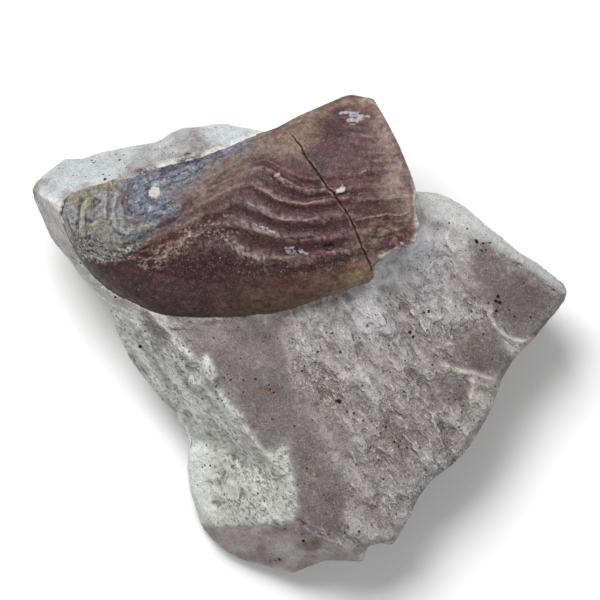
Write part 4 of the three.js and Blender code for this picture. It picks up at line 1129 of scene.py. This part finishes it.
# strokes drawn in colour and low relief: colour, half width, rise, strength, line
STROKES = [
    (ASH * (1.2, 1.16, 0.95), 0.3, 0.38, 1.0, [(-19, 14), (-19.35, 13.2), (-19.57, 12.3),
        (-19.65, 11.4), (-19.7, 10.6), (-19.74, 10.2)]),
    (YELLOW_OLIVE * 0.5, 0.18, -0.3, 1.0, [(-19.7, 13.9), (-20, 12.7), (-20.15, 11.6),
        (-20.1, 10.7)]),
    (NAVY, 0.3, -0.26, 0.85, [(-18.2, 13.9), (-18.6, 13.1), (-18.9, 12.2), (-19.1, 11.4)]),
    (ASH * 1.3, 0.17, 0.28, 1.0, [(-17.54, 13.7), (-17.55, 13), (-17.62, 12.3), (-17.65, 11.8)]),
    (BLUE_GREY * 1.35, 0.24, 0.24, 0.9, [(-17.9, 13.3), (-18.47, 12.84), (-18.86, 12.3),
        (-19.08, 11.7)]),
    (GREY_BROWN * 0.7, 0.3, -0.22, 0.55, [(-17, 14.2), (-17.2, 13), (-17.3, 11.9)]),
    (ASH * 1.2, 0.3, 0.3, 0.8, [(-16.3, 14.5), (-16.76, 13.7), (-17, 12.8), (-16.98, 12),
        (-16.55, 11.2), (-15.66, 10.75), (-14.56, 10.96), (-13.45, 11.4)]),
    (GREY_BROWN * 0.5, 0.24, -0.26, 0.7, [(-15.2, 15.3), (-15.66, 14.3), (-15.88, 13.4),
        (-15.66, 12.5), (-15.1, 12.1)]), (DARK_LINE, 0.1, 0, 1.0, [(-19.5, 11.3), (-19.45, 11.25)]),
    (DARK_LINE, 0.08, 0, 1.0, [(-19.7, 11), (-19.65, 11)]),
    (YELLOW_OLIVE, 0.3, 0.06, 0.7, [(-18.5, 12), (-18.5, 10.9), (-17.9, 10.1), (-17, 9.5),
        (-16.1, 9.5), (-14.8, 10.2)]),
    (YELLOW_OLIVE * (0.7, 0.66, 0.55), 0.38, 0.2, 1.0, [(-21.2, 13.4), (-20.6, 13.9), (-19, 14.6),
        (-17.6, 15), (-16.2, 15.4)]),
    (YELLOW_OLIVE * 0.6, 0.3, 0.05, 0.9, [(-17.7, 14.7), (-17, 14.4), (-16.4, 14.9)]),
    (YELLOW_OLIVE * 0.8, 0.18, 0.08, 0.9, [(-19.6, 14.4), (-19, 13.9), (-18.9, 13.4)]),
    (NAVY * 0.7, 0.26, -0.1, 0.85, [(-16.6, 9.2), (-14.6, 9.9), (-13.2, 10.9), (-11.6, 11.7),
        (-10.3, 12.8)]),
    (NAVY * 0.8, 0.32, -0.06, 0.8, [(-13, 15.8), (-11.8, 16.6), (-9.5, 17.2), (-6.9, 18.2)]),
    (DARK_LINE, 0.15, -0.14, 0.8, [(-16.5, 8.1), (-14.6, 8.9), (-13.4, 9.4)]),
    (DARK_LINE, 0.1, -0.05, 0.7, [(-21.2, 13.4), (-21.25, 12.4), (-20.9, 11.2), (-20.2, 10)]),
    (PALE_VEIN * 0.8, 0.4, 0.03, 0.45, [(-13.4, 8), (-12, 8.8), (-11.3, 9.4), (-10.3, 9.8),
        (-8.8, 10.4)]),
    (PALE_VEIN * 1.1, 0.05, 0.05, 0.8, [(-13.3, 7.8), (-12.8, 8.3), (-12.3, 8.45), (-11.8, 9.1),
        (-11.3, 9.35), (-10.9, 9.4), (-10.4, 10.1), (-9.9, 10.3), (-9.4, 10.35), (-8, 11.1)]),
    (PALE_VEIN * 0.95, 0.06, 0.06, 0.9, [(4.8, 11.55), (5.6, 11.9), (6.3, 12), (7.7, 12.26),
        (9, 12.15), (9.9, 12.5)]),
    (PALE_VEIN * 0.6, 0.12, 0.05, 0.5, [(5.2, 13.5), (6.6, 13.7), (8, 13.6), (9.6, 14)]),
    (PALE_VEIN * 0.9, 0.12, 0.1, 0.8, [(-7.3, 10.7), (-6.7, 10), (-6, 9.2), (-5.2, 8.8),
        (-4.1, 8.4), (-3.5, 8.2)]),
    (PALE_VEIN * 0.55, 0.11, 0.04, 0.8, [(-3.5, 8.2), (-2.3, 8.3), (-0.9, 8.4), (0.4, 8.8)]),
    (PALE_VEIN * 0.75, 0.14, 0.08, 0.7, [(-5.4, 11.3), (-4.4, 11), (-3.4, 10.7), (-2.4, 10.4)]),
    (DARK_LINE, 0.1, -0.1, 0.85, [(-1.4, 10.1), (-0.5, 10), (0.5, 10.1), (1.5, 10.3)]),
    (PALE_VEIN * 0.85, 0.08, 0.04, 0.8, [(-5, 13.5), (-4.2, 13), (-3.3, 12.4), (-2.6, 12),
        (-1.2, 11.8), (0.2, 11.7), (2, 12.1)]),
    (PALE_VEIN * 0.8, 0.08, 0.04, 0.8, [(-4.4, 15), (-3.7, 14.6), (-3.1, 14.3), (-2.2, 13.7),
        (-1, 13.3), (0.6, 13.2), (1.7, 13.5)]),
    (PALE_VEIN * 0.7, 0.08, 0.03, 0.7, [(-2, 15.6), (-1.3, 14.9), (-0.4, 14.7), (1, 14.7)]),
    (DARK_LINE, 0.2, -0.22, 0.9, [(2.2, 9.5), (2.6, 9.15), (3, 9.6)]),
    (DARK_LINE, 0.07, -0.07, 0.8, [(8.4, 17.45), (9.1, 17.75)]),
    (DARK_LINE, 0.12, -0.05, 0.4, [(6.1, 10.3), (7.2, 10.1), (8.4, 10.5), (9.2, 10)]),
    (PALE_VEIN * 0.6, 0.07, 0.04, 0.8, [(-3.1, 7.8), (-3.2, 7.3), (-2.9, 6.9), (-2.4, 6.9)]),
    (PALE_VEIN * 0.5, 0.07, 0.04, 0.8, [(-0.4, 7.9), (-0.3, 7.3), (0.4, 7)]),
    (PALE_VEIN * 0.5, 0.08, 0.05, 0.7, [(-10.2, 8.3), (-9.6, 8.5), (-9.1, 8)]),
]
MATRIX_BITS = [  # bits of matrix left on the valve: tone, half width, rise, line
    (MATRIX_GREY, 0.16, 0.06, [(3.7, 21.45), (4.6, 21.5), (5.2, 21.35)]),
    (MATRIX_GREY * 1.1, 0.16, 0.06, [(4.6, 21.2), (5.6, 21.15), (6.2, 21.1)]),
    (MATRIX_GREY * 1.2, 0.2, 0.08, [(4.4, 20.8), (5.1, 20.75), (5.5, 20.95)]),
    (MATRIX_GREY, 0.13, 0.04, [(4.6, 20.35), (4.9, 20.4)]),
    (WHITE * 0.95, 0.24, 0.16, [(3.45, 14.4), (3.9, 14.5)]),
    (MATRIX_GREY * 1.2, 0.12, 0.08, [(3.7, 14.75), (3.8, 14.8)]),
    (MATRIX_GREY * 1.1, 0.07, 0.03, [(4.35, 14.2), (4.4, 14.2)]),
    (MATRIX_GREY * 1.15, 0.15, 0.1, [(-2.2, 15.75), (-1.9, 15.85)]),
    (MATRIX_GREY * 0.9, 0.07, 0.03, [(-1.7, 15.5), (-1.6, 15.4)]),
    (MATRIX_GREY, 0.13, 0.08, [(-4.1, 11.4), (-3.9, 11.3)]),
    (MATRIX_GREY * 1.1, 0.16, 0.1, [(-3.6, 11.2), (-3.3, 11.1)]),
    (MATRIX_GREY * 0.9, 0.13, 0.06, [(-3, 10.95), (-2.8, 10.85)]),
    (MATRIX_GREY * 1.2, 0.14, 0.1, [(-2.6, 10.75), (-2.3, 10.6)]),
    (MATRIX_GREY * 0.95, 0.08, 0.04, [(-2, 10.4), (-1.9, 10.4)]),
    (MATRIX_GREY, 0.07, 0.04, [(-3.5, 10.85), (-3.3, 10.8)]),
    (MATRIX_GREY * 0.6, 0.26, 0.2, [(-1.1, 9.05), (-0.9, 8.8)]),
    (MATRIX_GREY * 1.1, 0.12, 0.16, [(-0.8, 9.25), (-0.6, 9.2)]),
    (MATRIX_GREY * 0.75, 0.15, 0.12, [(-0.5, 8.85), (-0.4, 8.8)]),
    (MATRIX_GREY * 1.2, 0.16, 0.14, [(0, 9), (0.2, 8.9)]),
    (MATRIX_GREY * 1.15, 0.14, 0.1, [(0.5, 8.8), (0.6, 8.7)]),
    (MATRIX_GREY, 0.08, 0.06, [(-1.4, 9.2), (-1.35, 9.2)]),
    (MATRIX_GREY * 1.35, 0.3, 0.1, [(7.4, 8.45), (8.1, 8.75), (8.9, 9.1)]),
    (MATRIX_GREY * 1.3, 0.12, 0.06, [(9, 9.75), (9.4, 9.5)]),
    (WHITE * 0.86, 0.5, 0.06, [(-13.2, 14.2), (-13.1, 14.3)]),
    (MATRIX_GREY, 0.2, 0.04, [(-13.2, 14.95), (-12.9, 15)]),
    (MATRIX_GREY * 0.8, 0.08, 0.03, [(5.6, 16.1), (5.9, 16.2)]),
]


def speckled_mask(polygon, p, soft=0.4, warp=0.6):
    """How far points belong to a patch of the valve."""
    return uneven_patch(polygon, p, soft, warp, 1.6, 0.7, 110)


def valve_colour(p, crests, troughs):
    """Colours of the valve's ribbed side, before its strokes and bits."""
    x, y, _ = p.T
    blotch = fractal(p, 2.4, 3, 30)
    fine = fractal(p, 0.42, 3, 34)
    grit = noise(p, 0.24, 35)
    turned = flat(0.87 * x + 0.5 * y, (0.87 * y - 0.5 * x) * 3)
    streak = noise(turned, 1.6, 36)
    colour = tinted(MAROON[None], WINE, step(blotch, -0.3, 0.6))
    diagonal = speckled_mask(DIAGONAL, p) * np.clip(0.8 + 0.5 * streak, 0, 1)
    colour = tinted(colour, DIAGONAL_BROWN, diagonal)
    band = depth_in(OLIVE_BAND, x, y) + 0.8 * noise(p, 1.3, 69) + 0.4 * noise(p, 0.4, 68)
    olive = mix(OLIVE, OLIVE * 1.35, step(y - 0.33 * x, 20.2, 21.4)[:, None])
    colour = tinted(colour, olive, 0.95 * step(band, -0.5, 1.5))
    grey = speckled_mask(GREY_ZONE, p, 0.8, 1.0) * np.clip(0.85 + 0.5 * streak, 0, 1)
    colour = tinted(colour, GREY_BROWN, grey)
    blue = speckled_mask(BLUE_ZONE, p, 0.9, 1.0)
    zone = tinted(BLUE_GREY[None], NAVY, step(0.9 * streak + 0.8 * fine + 0.4 * grit, 0.0, 0.8))
    zone = tinted(zone, ASH, step(0.8 * fine - 0.8 * streak, 0.1, 1.0) * 0.8)
    zone = tinted(zone, NAVY * 0.7, step(noise(turned, 0.9, 41) + 0.5 * grit, 0.15, 0.6) * 0.85)
    colour = tinted(colour, zone, blue)
    left = speckled_mask(LEFT_END, p, 0.4, 0.4)
    zone = tinted(ASH[None], YELLOW_OLIVE, step(blotch + 0.5 * fine, 0.1, 1.0) * 0.5)
    zone = tinted(zone, BLUE_GREY, step(noise(p, 1.9, 39), 0.0, 0.5) * 0.6)
    zone = tinted(zone, DARK_LINE, step(fine + 0.6 * grit, 0.5, 1.1) * 0.6)
    colour = tinted(colour, zone, left)
    tan = np.clip(0.8 + 0.5 * blotch, 0.2, 0.9) * speckled_mask(RIGHT_MARGIN, p, 1.5, 0.7)
    colour = tinted(colour, TAN, tan)
    colour = tinted(colour, OLIVE * 1.1, 0.75 * speckled_mask(LOWER_RIGHT, p, 0.7, 0.9))
    pitted = 0.7 * step(noise(p, 0.8, 52) + 0.5 * grit, 0.2, 0.7)
    colour = tinted(colour, MAROON, pitted * speckled_mask(PITTED_END, p, 0.8))
    mottled = speckled_mask(MOTTLED, p, 0.5)
    colour = tinted(colour, WINE * 0.8, mottled * 0.7)
    rim = speckled_mask(GRANULAR_RIM, p, 0.25)
    crystals = noise(p, 0.17, 41) + 0.4 * grit + 0.2 * fine
    colour = tinted(colour, ASH * 1.35, rim * step(crystals, 0, 0.5))
    colour = tinted(colour, DARK_LINE, rim * step(crystals, -0.1, -0.6))
    # painted shade: the troughs between the ribs turned darker
    colour = tinted(colour, WINE * 0.8, np.clip(0.7 * troughs, 0, 1) * (1 - left) * (1 - blue))
    ashy = step(x, 0.5, -4.5) * step(x, -9.5, -7) * step(y - 0.35 * x, 18.5, 16)
    pale = tinted(CREST_PINK[None], CREST_ASH, ashy)
    lit = np.clip(0.75 * crests * (0.7 + 0.6 * fine + 0.4 * grit), 0, 1)
    colour = tinted(colour, pale, lit * (1 - 0.6 * left))
    contrast = 0.30 + 0.2 * mottled + 0.22 * blue + 0.2 * left
    return colour * np.clip(1 + contrast * fine + 0.5 * contrast * grit, 0.35, 1.8)[:, None]


def flank_colour(p):
    """Colours of the steep flank."""
    x, y, _ = p.T
    blotch = fractal(p, 2.0, 3, 37)
    colour = tinted(FLANK_DARK[None], FLANK_OLIVE, step(x - 0.8 * (y - 6) + 2 * blotch, -9, 3))
    colour = tinted(colour, FLANK_END, step(x + blotch - 0.6 * (y - 6), 1, 6))
    grain = 0.22 * blotch + 0.45 * fractal(p, 0.6, 3, 38) + 0.3 * noise(p, 0.2, 72)
    return colour * (1 + grain)[:, None]


def padded(values, count, rest=0.0):
    """Values of the grid's vertices, followed by the same number for all that come after them."""
    return np.concatenate([np.ravel(values), np.full(count - np.size(values), rest)])


def weather_valve(valve, vertices, s, r, crests, troughs):
    """Chips, strokes, crack and bits of matrix on the valve; then its colours."""
    count = len(vertices)
    crest, trough = padded(crests, count), padded(troughs, count)
    station = padded(s, count, LAST_STATION)
    rib = padded(r, count, OFF_GRID)
    flank_end = s.size + FLANK_ROWS * s.shape[1]
    station[s.size:flank_end] = np.tile(s[0], FLANK_ROWS)
    flank_part = np.zeros(count)
    flank_part[s.size:flank_end] = np.repeat(np.arange(1, FLANK_ROWS + 1) / FLANK_ROWS, s.shape[1])
    x, y, _ = vertices.T
    n = normals_of(valve)
    p = vertices.copy()
    on_grid = rib < OFF_GRID
    wall = ~on_grid & (flank_part == 0)
    top = on_grid.astype(float)
    upper = np.maximum(top, step(flank_part, 0.5, 0.2) * (flank_part > 0))

    white = np.zeros(count)
    matrix_rise = np.zeros(count)
    matrix_tone = np.tile(WHITE, (count, 1))
    ragged = noise(p * (1, 1.6, 1), 0.34, 80)
    for tone, half, height, line in MATRIX_BITS:
        inward = half - 0.02 + 0.11 * ragged - from_line(line, x, y)[0]
        bit = np.clip(0.5 + inward / BIT_EDGE, 0, 1) * top
        matrix_tone = np.where((bit > white)[:, None], tone, matrix_tone)
        white = np.maximum(white, bit)
        matrix_rise = np.maximum(matrix_rise, height * step(bit, 0.3, 0.8))

    place = [axis + (noise(p, 0.9, seed) + 0.7 * noise(p, 0.35, finer)) * 0.08
             for axis, seed, finer in ((x, 81, 67), (y, 89, 66))]
    broken = 0.65 + 0.8 * noise(p, 0.4, 79) + 0.5 * noise(p, 0.18, 65)
    strokes = []
    rise = np.zeros(count)
    for tone, half, height, strength, line in STROKES:
        away, _, part = from_line(line, *place)
        mask = step(away, half * 1.5, half * 0.4) * tapered(part, 0.12) * upper
        strokes.append((tone, np.clip(mask * strength * broken, 0, 1)))
        rise += height * mask

    mottled = speckled_mask(MOTTLED, p) * top
    granular = speckled_mask(GRANULAR_RIM, p, 0.3)
    grainy = np.maximum(granular, 0.5 * speckled_mask(PITTED_END, p, 0.3)) * top
    worn = np.maximum(speckled_mask(BLUE_ZONE, p), speckled_mask(LEFT_END, p)) * top
    crack_x, crack_y = x + 0.05 * noise(p, 0.7, 82), y + 0.05 * noise(p, 0.5, 83)
    crack, _, along = from_line(CRACK_LINE, crack_x, crack_y)
    crack_depth = CRACK_DEPTH * step(crack, 0.13, 0.02) * step(along, 0, 0.12)
    move = 0.020 * fractal(p, 0.45, 3, 84) + 0.05 * noise(p, 2.6, 85)
    move += mottled * 0.085 * fractal(p, 0.65, 3, 86) + grainy * 0.08 * fractal(p, 0.38, 2, 87)
    move += worn * 0.035 * fractal(p, 0.4, 2, 78)
    move += speckled_mask(PITTED_END, p) * top * 0.14 * fractal(p, 0.9, 3, 77)
    move += matrix_rise * (1 + 0.4 * ragged) + rise - crack_depth * top
    move = np.where(wall, 0.14 * fractal(p, 1.1, 3, 88) - 0.1, move)
    move[vertices[:, 2] < SEAT_Z + 0.7] = 0
    p = p + n * move[:, None]
    set_vertices(valve, p)

    colour = valve_colour(p, crest, trough)
    patchy = 0.5 * noise(p, 1.4, 75) + 0.25 * noise(p, 0.5, 73)
    kept = np.maximum(speckled_mask(LEFT_END, p, 0.4, 0.4), speckled_mask(GRANULAR_RIM, p, 0.3))
    turn = flank_part + 0.3 * patchy - 0.35 * kept
    lower_ribs = 0.6 * step(rib + patchy, 9.3, 10.2)
    over = np.where(on_grid, lower_ribs, (flank_part > 0) * step(turn, -0.1, 0.2))
    over = over * (1 - step(x, -15.5, -17) * on_grid)
    colour = tinted(colour, flank_colour(p), over)
    leaves = flat(0.25 * x, 0.25 * y, 1.6 * p[:, 2])
    layers = noise(leaves, 0.7, 76) + 0.6 * noise(leaves, 0.3, 63) + 0.4 * noise(p, 1.5, 62)
    layered = tinted(TAN[None] * 0.8, MAROON, 0.2 + 0.7 * step(layers, -0.6, 0.6))
    colour = np.where((wall & (x + 0.9 * y > 15))[:, None], layered, colour)
    for tone, mask in strokes:
        colour = tinted(colour, tone, mask)

    vein = from_line(VEIN_LINE, x, y)[0] + 0.5 * noise(p, 0.9, 39)
    grains = noise(p, 0.24, 45) + 0.6 * noise(p, 0.62, 44) + 0.25 * step(vein, 0.9, 0)
    crumbs = step(vein, 1.9, 0.1) * step(grains, 0.15, 0.55) * top
    colour = tinted(colour, PALE_VEIN, 0.65 * crumbs)
    blotches = step(noise(p, 1.1, 26) + 0.5 * noise(p, 0.35, 27), -0.5, 0.35)
    blotches = ground(BROKEN_CORNER, p, 0.5, 0.5) * blotches * top
    colour = tinted(colour, MAROON * 0.95, 0.7 * blotches)
    lips = step(np.abs(crack - 0.15), 0.08, 0.01) * top
    colour = tinted(colour, PALE_VEIN, lips * np.clip(0.3 + 0.9 * noise(p, 0.6, 48), 0, 0.7))
    margin = step(station + 0.12 * noise(p, 0.8, 46), 12.78, 12.95)
    margin = margin * np.where(on_grid, step(rib, 3.5, 5.5), flank_part > 0)
    colour = tinted(colour, CREAM * 0.8, 0.75 * margin)
    colour = tinted(colour, PALE_VEIN * 0.6, 0.35 * step(flank_part, 0.9, 1.0))
    shade = 1 - np.clip(7 * hollows(valve, 2), -0.2, 0.45)
    last_rib = top * step(rib + 0.8 * noise(p, 1.2, 74), 10, 9)
    sparkle = 0.45 + 0.1 * last_rib + 0.4 * mottled + worn + grainy
    store(valve, "tint", np.clip(colour * shade[:, None], 0, 1))
    store(valve, "crack", np.where(along < 0.02, 1.0, crack))
    store(valve, "white", white)
    store(valve, "bits", matrix_tone)
    store(valve, "sparkle", np.clip(sparkle, 0, 1))
    store(valve, "dull", np.clip(worn * 0.4 + mottled * 0.5 + grainy * 0.5, 0, 1))
    smooth_shaded(valve)


# ---------------------------------------------------------------- materials
STREAK_TURN = 34.8             # degrees from +Y to the streaks of the broken ground


class Nodes:
    """Short hand for building one material's node tree."""

    def __init__(self, name):
        self.material = bpy.data.materials.new(name)
        self.material.use_nodes = True
        self.tree = self.material.node_tree
        self.tree.nodes.clear()
        self.position = self.add("ShaderNodeTexCoord").outputs["Object"]

    def add(self, kind, inputs=(), **settings):
        node = self.tree.nodes.new(kind)
        for key, value in settings.items():
            setattr(node, key, value)
        for key, value in dict(inputs).items():
            if isinstance(value, bpy.types.NodeSocket):
                self.tree.links.new(value, node.inputs[key])
            else:
                node.inputs[key].default_value = value
        return node

    def attribute(self, name, output="Fac"):
        return self.add("ShaderNodeAttribute", attribute_name=name).outputs[output]

    def math(self, operation, a, b):
        return self.add("ShaderNodeMath", {0: a, 1: b}, operation=operation).outputs[0]

    def times(self, first, *others):
        for other in others:
            first = self.math("MULTIPLY", first, other)
        return first

    def along_streaks(self, factor):
        """The position in the streaks' own frame, drawn out that many times along them."""
        place = {"Vector": self.position, "Rotation": (0, 0, math.radians(STREAK_TURN)),
                 "Scale": (1, factor, 1)}
        return self.add("ShaderNodeMapping", place, vector_type="TEXTURE").outputs[0]

    def noise(self, size, detail, roughness=0.55, at=None):
        """Noise with features of that many millimetres."""
        inputs = {"Vector": at or self.position, "Scale": 1 / (size * MM), "Detail": detail,
                  "Roughness": roughness}
        return self.add("ShaderNodeTexNoise", inputs).outputs["Fac"]

    def wavy(self, size, amount):
        """The position, pushed about by noise of that size, up to about that many millimetres."""
        push = self.add("ShaderNodeTexNoise",
                        {"Vector": self.position, "Scale": 1 / (size * MM), "Detail": 2.0})
        inputs = {0: push.outputs["Color"], 1: [amount * MM] * 3, 2: self.position}
        return self.add("ShaderNodeVectorMath", inputs, operation="MULTIPLY_ADD").outputs[0]

    def cells(self, size, at=None):
        """Each cell's random colour, and the distance to its middle counted in cells."""
        inputs = {"Vector": at or self.position, "Scale": 1 / (size * MM)}
        found = self.add("ShaderNodeTexVoronoi", inputs).outputs
        return found["Color"], found["Distance"]

    def ramp(self, value, low, high, at_low=0.0, at_high=1.0):
        inputs = {"Value": value, "From Min": low, "From Max": high,
                  "To Min": at_low, "To Max": at_high}
        return self.add("ShaderNodeMapRange", inputs, interpolation_type="SMOOTHSTEP").outputs[0]

    def blend(self, factor, a, b, how="MIX"):
        node = self.add("ShaderNodeMix", data_type="RGBA", blend_type=how)
        for key, value in ((0, factor), (6, a), (7, b)):
            if isinstance(value, bpy.types.NodeSocket):
                self.tree.links.new(value, node.inputs[key])
            else:
                node.inputs[key].default_value = value if key == 0 else (*value, 1)
        return node.outputs[2]

    def layer(self, under, rgb, *amounts):
        """A colour turned towards another, as far as the amounts multiplied together say."""
        return self.blend(self.times(*amounts), under, linear(*rgb))

    def bump(self, height, distance, strength=1.0, normal=None):
        """A bump of that many millimetres."""
        inputs = {"Height": height, "Distance": distance * MM, "Strength": strength}
        if normal:
            inputs["Normal"] = normal
        return self.add("ShaderNodeBump", inputs).outputs[0]

    def finish(self, colour, roughness, normal, specular):
        shader = self.add("ShaderNodeBsdfPrincipled", {
            "Base Color": colour, "Roughness": roughness, "Normal": normal,
            "Specular IOR Level": specular})
        self.add("ShaderNodeOutputMaterial", {0: shader.outputs[0]})
        return self.material


def limestone():
    """Chalky stone: grain, crumbs, flecks and pores over the stored colours."""
    m = Nodes("limestone")
    colour = m.attribute("tint", "Color")
    porous = m.attribute("porous")
    rough = m.attribute("rough")
    lumps = m.noise(1.4, 3, 0.5, m.along_streaks(2.1))
    grain = m.noise(0.13, 2, 0.6)
    colour = m.layer(colour, (200, 199, 202), m.ramp(lumps, 0.5, 0.66, 0.0, 0.2), rough)
    colour = m.layer(colour, (104, 92, 87), m.ramp(lumps, 0.5, 0.34, 0.0, 0.2), rough)
    colour = m.blend(1.0, colour, m.ramp(m.noise(0.5, 4, 0.7), 0.3, 0.7, 0.88, 1.12), "MULTIPLY")
    salt = m.times(m.ramp(grain, 0.5, 0.75, 0.0, 0.45), m.ramp(rough, 0.0, 1.0, 0.5, 1.0))
    colour = m.layer(colour, (204, 201, 198), salt)
    colour = m.layer(colour, (74, 65, 63), m.ramp(grain, 0.5, 0.28, 0.0, 0.5))

    crumbs = m.noise(0.3, 3, 0.62, m.along_streaks(2.2))
    crumbly = m.times(m.ramp(m.noise(3.5, 2), 0.38, 0.6, 0.3, 1.0),
                      m.ramp(rough, 0.0, 1.0, 0.22, 1.0))
    # the crumbs' raised grains paler and their low places darker: partly their own tone, partly
    # painted highlight and painted shade over their bump
    colour = m.layer(colour, (218, 216, 214), m.ramp(crumbs, 0.54, 0.66, 0.0, 0.55), crumbly)
    colour = m.layer(colour, (92, 80, 76), m.ramp(crumbs, 0.45, 0.34, 0.0, 0.24), crumbly)

    thick = m.ramp(m.noise(5, 2), 0.4, 0.6, 0.55, 1.0)
    chance, away = m.cells(0.62, m.wavy(0.3, 0.12))
    flecks = m.ramp(m.math("SUBTRACT", away, m.times(m.ramp(chance, 0.32, 0.75, 0.0, 0.21), thick)),
                    0.03, -0.02)
    colour = m.layer(colour, (54, 36, 33), flecks, 0.85)
    chance, away = m.cells(0.3)
    dust = m.math("LESS_THAN", away, m.ramp(chance, 0.45, 0.9, 0.0, 0.24))
    colour = m.layer(colour, (78, 68, 64), dust, 0.35)

    holes = m.noise(0.27, 3, 0.65, m.along_streaks(1.6))
    clusters = m.ramp(m.noise(1.7, 3), 0.36, 0.6, 0.15, 1.0)
    open_pore = m.times(m.ramp(holes, 0.48, 0.34), clusters, porous)
    colour = m.layer(colour, (88, 87, 84), open_pore, 0.6)
    colour = m.layer(colour, (214, 217, 210), m.ramp(holes, 0.52, 0.66, 0.0, 0.3), porous)
    colour = m.layer(colour, (30, 24, 22), m.ramp(m.attribute("speck"), 0.05, -0.03))

    normal = m.bump(m.times(m.math("SUBTRACT", lumps, 0.5), m.ramp(rough, 0.0, 1.0, 0.1, 1.0)), 1.3)
    normal = m.bump(m.times(m.math("SUBTRACT", crumbs, 0.5), crumbly), 0.4, 1.0, normal)
    normal = m.bump(m.noise(0.25, 2, 0.5), 0.07, 1.0, normal)
    normal = m.bump(m.noise(0.9, 2), 0.16, 0.5, normal)
    normal = m.bump(open_pore, -0.12, 0.9, normal)
    return m.finish(colour, 0.93, normal, specular=0.25)


def fossil_calcite():
    """The valve: gritty calcite with painted glints, its crack and its bits of matrix."""
    m = Nodes("fossil_calcite")
    fine = m.noise(0.15, 3, 0.7)
    shades = m.ramp(m.noise(0.42, 4, 0.65), 0.3, 0.7, 0.35, 1.65)
    colour = m.blend(0.55, m.attribute("tint", "Color"), shades, "MULTIPLY")
    sparkle = m.attribute("sparkle")
    gritty = m.ramp(sparkle, 0.0, 1.0, 0.12, 1.0)
    colour = m.layer(colour, (174, 154, 147), m.ramp(fine, 0.52, 0.72, 0.0, 0.4), gritty)
    colour = m.layer(colour, (30, 19, 21), m.ramp(fine, 0.49, 0.30, 0.0, 0.75), gritty)
    # painted glints: small pale dots where the calcite would catch the light
    chance, away = m.cells(0.42)
    spark = m.math("LESS_THAN", away, m.times(m.ramp(chance, 0.6, 0.95, 0.0, 0.2), sparkle))
    colour = m.layer(colour, (214, 206, 200), spark, m.ramp(m.noise(3, 2), 0.4, 0.65, 0.15, 0.75))

    edges = m.math("ADD", m.attribute("white"), m.times(m.noise(0.22, 4, 0.7), 0.9))
    bit = m.ramp(edges, 0.84, 1.12)
    matrix = m.attribute("bits", "Color")
    matrix = m.layer(matrix, (206, 204, 203), m.ramp(m.noise(0.2, 3, 0.7), 0.45, 0.65, 0.0, 0.45))
    matrix = m.layer(matrix, (96, 90, 92), m.ramp(m.noise(0.25, 3, 0.7), 0.5, 0.3, 0.0, 0.5))
    colour = m.blend(bit, colour, matrix)
    colour = m.layer(colour, (22, 13, 12), m.ramp(m.attribute("crack"), 0.085, 0.03))

    rough = m.ramp(m.noise(0.5, 3), 0.3, 0.7, 0.38, 0.56)
    rough = m.math("ADD", rough, m.times(bit, 0.35))
    rough = m.math("ADD", rough, m.times(m.attribute("dull"), 0.15))
    normal = m.bump(m.noise(0.5, 3), 0.09, 0.6, m.bump(fine, 0.05, 0.9))
    return m.finish(colour, rough, normal, specular=0.3)


# ---------------------------------------------------------------- the studio
PHOTO_MIDDLE = (0, 4.545)      # where the view's axis meets the part
PIXELS_PER_MM = 11
IMAGE_SIDE = 600               # pixels
CAMERA_HEIGHT = 713
SHARP_LEVEL = 13               # the level at which the scale is PIXELS_PER_MM
SENSOR = 36
CLIP_METRES = (0.01, 10)
FLOOR_HALF = 900
PAPER_TONES = (0.93, 0.95)
SKY_STRENGTH = 0.3
LIGHTS = [  # name; place, side of the square, both in metres; watts
    ("key", (-0.12, 0.28, 0.46), 0.26, 3.1), ("fill", (0.2, -0.25, 0.5), 0.4, 0.5),
]
LIT_PLACE = (0, 0, 0.01)       # where both lights point, in metres


def soft_light(name, place, side, power):
    data = bpy.data.lights.new(name, "AREA")
    data.shape = "SQUARE"
    data.size = side
    data.energy = power
    light = bpy.data.objects.new(name, data)
    light.location = place
    towards = Vector(LIT_PLACE) - Vector(place)
    light.rotation_euler = towards.to_track_quat("-Z", "Y").to_euler()
    bpy.context.scene.collection.objects.link(light)


def build_studio():
    """Paper floor, even sky, two soft lights, and the camera of the photo's view."""
    corners = [(x * FLOOR_HALF, y * FLOOR_HALF, 0) for x, y in ((-1, -1), (1, -1), (1, 1), (-1, 1))]
    floor = make_mesh("floor", corners, [(0, 1, 2, 3)])
    paper = Nodes("paper")
    speckle = paper.noise(20, 2)
    colour = paper.blend(paper.ramp(speckle, 0.3, 0.7), *([tone] * 3 for tone in PAPER_TONES))
    normal = paper.bump(speckle, 0.01, 0.1)
    floor.data.materials.append(paper.finish(colour, 0.9, normal, specular=0.2))
    world = bpy.data.worlds.new("studio")
    world.use_nodes = True
    world.node_tree.nodes["Background"].inputs[0].default_value = (1, 1, 1, 1)
    world.node_tree.nodes["Background"].inputs[1].default_value = SKY_STRENGTH
    bpy.context.scene.world = world
    for light in LIGHTS:
        soft_light(*light)
    camera = bpy.data.cameras.new("camera")
    distance = (CAMERA_HEIGHT - SHARP_LEVEL) * MM
    camera.sensor_width = SENSOR
    camera.lens = SENSOR * distance / (IMAGE_SIDE / PIXELS_PER_MM * MM)
    camera.clip_start, camera.clip_end = CLIP_METRES
    viewer = bpy.data.objects.new("camera", camera)
    viewer.location = (PHOTO_MIDDLE[0] * MM, PHOTO_MIDDLE[1] * MM, CAMERA_HEIGHT * MM)
    bpy.context.scene.collection.objects.link(viewer)
    bpy.context.scene.camera = viewer
    bpy.context.scene.view_settings.view_transform = "Standard"


# ---------------------------------------------------------------- the part
stone = build_stone()
stone.data.materials.append(limestone())
valve = build_valve()
valve.data.materials.append(fossil_calcite())
for piece, node, slot in ((stone, "limestone_matrix", "limestone"),
                          (valve, "aptychus_valve", "fossil_calcite")):
    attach(piece, "root")
    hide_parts(node)
build_studio()
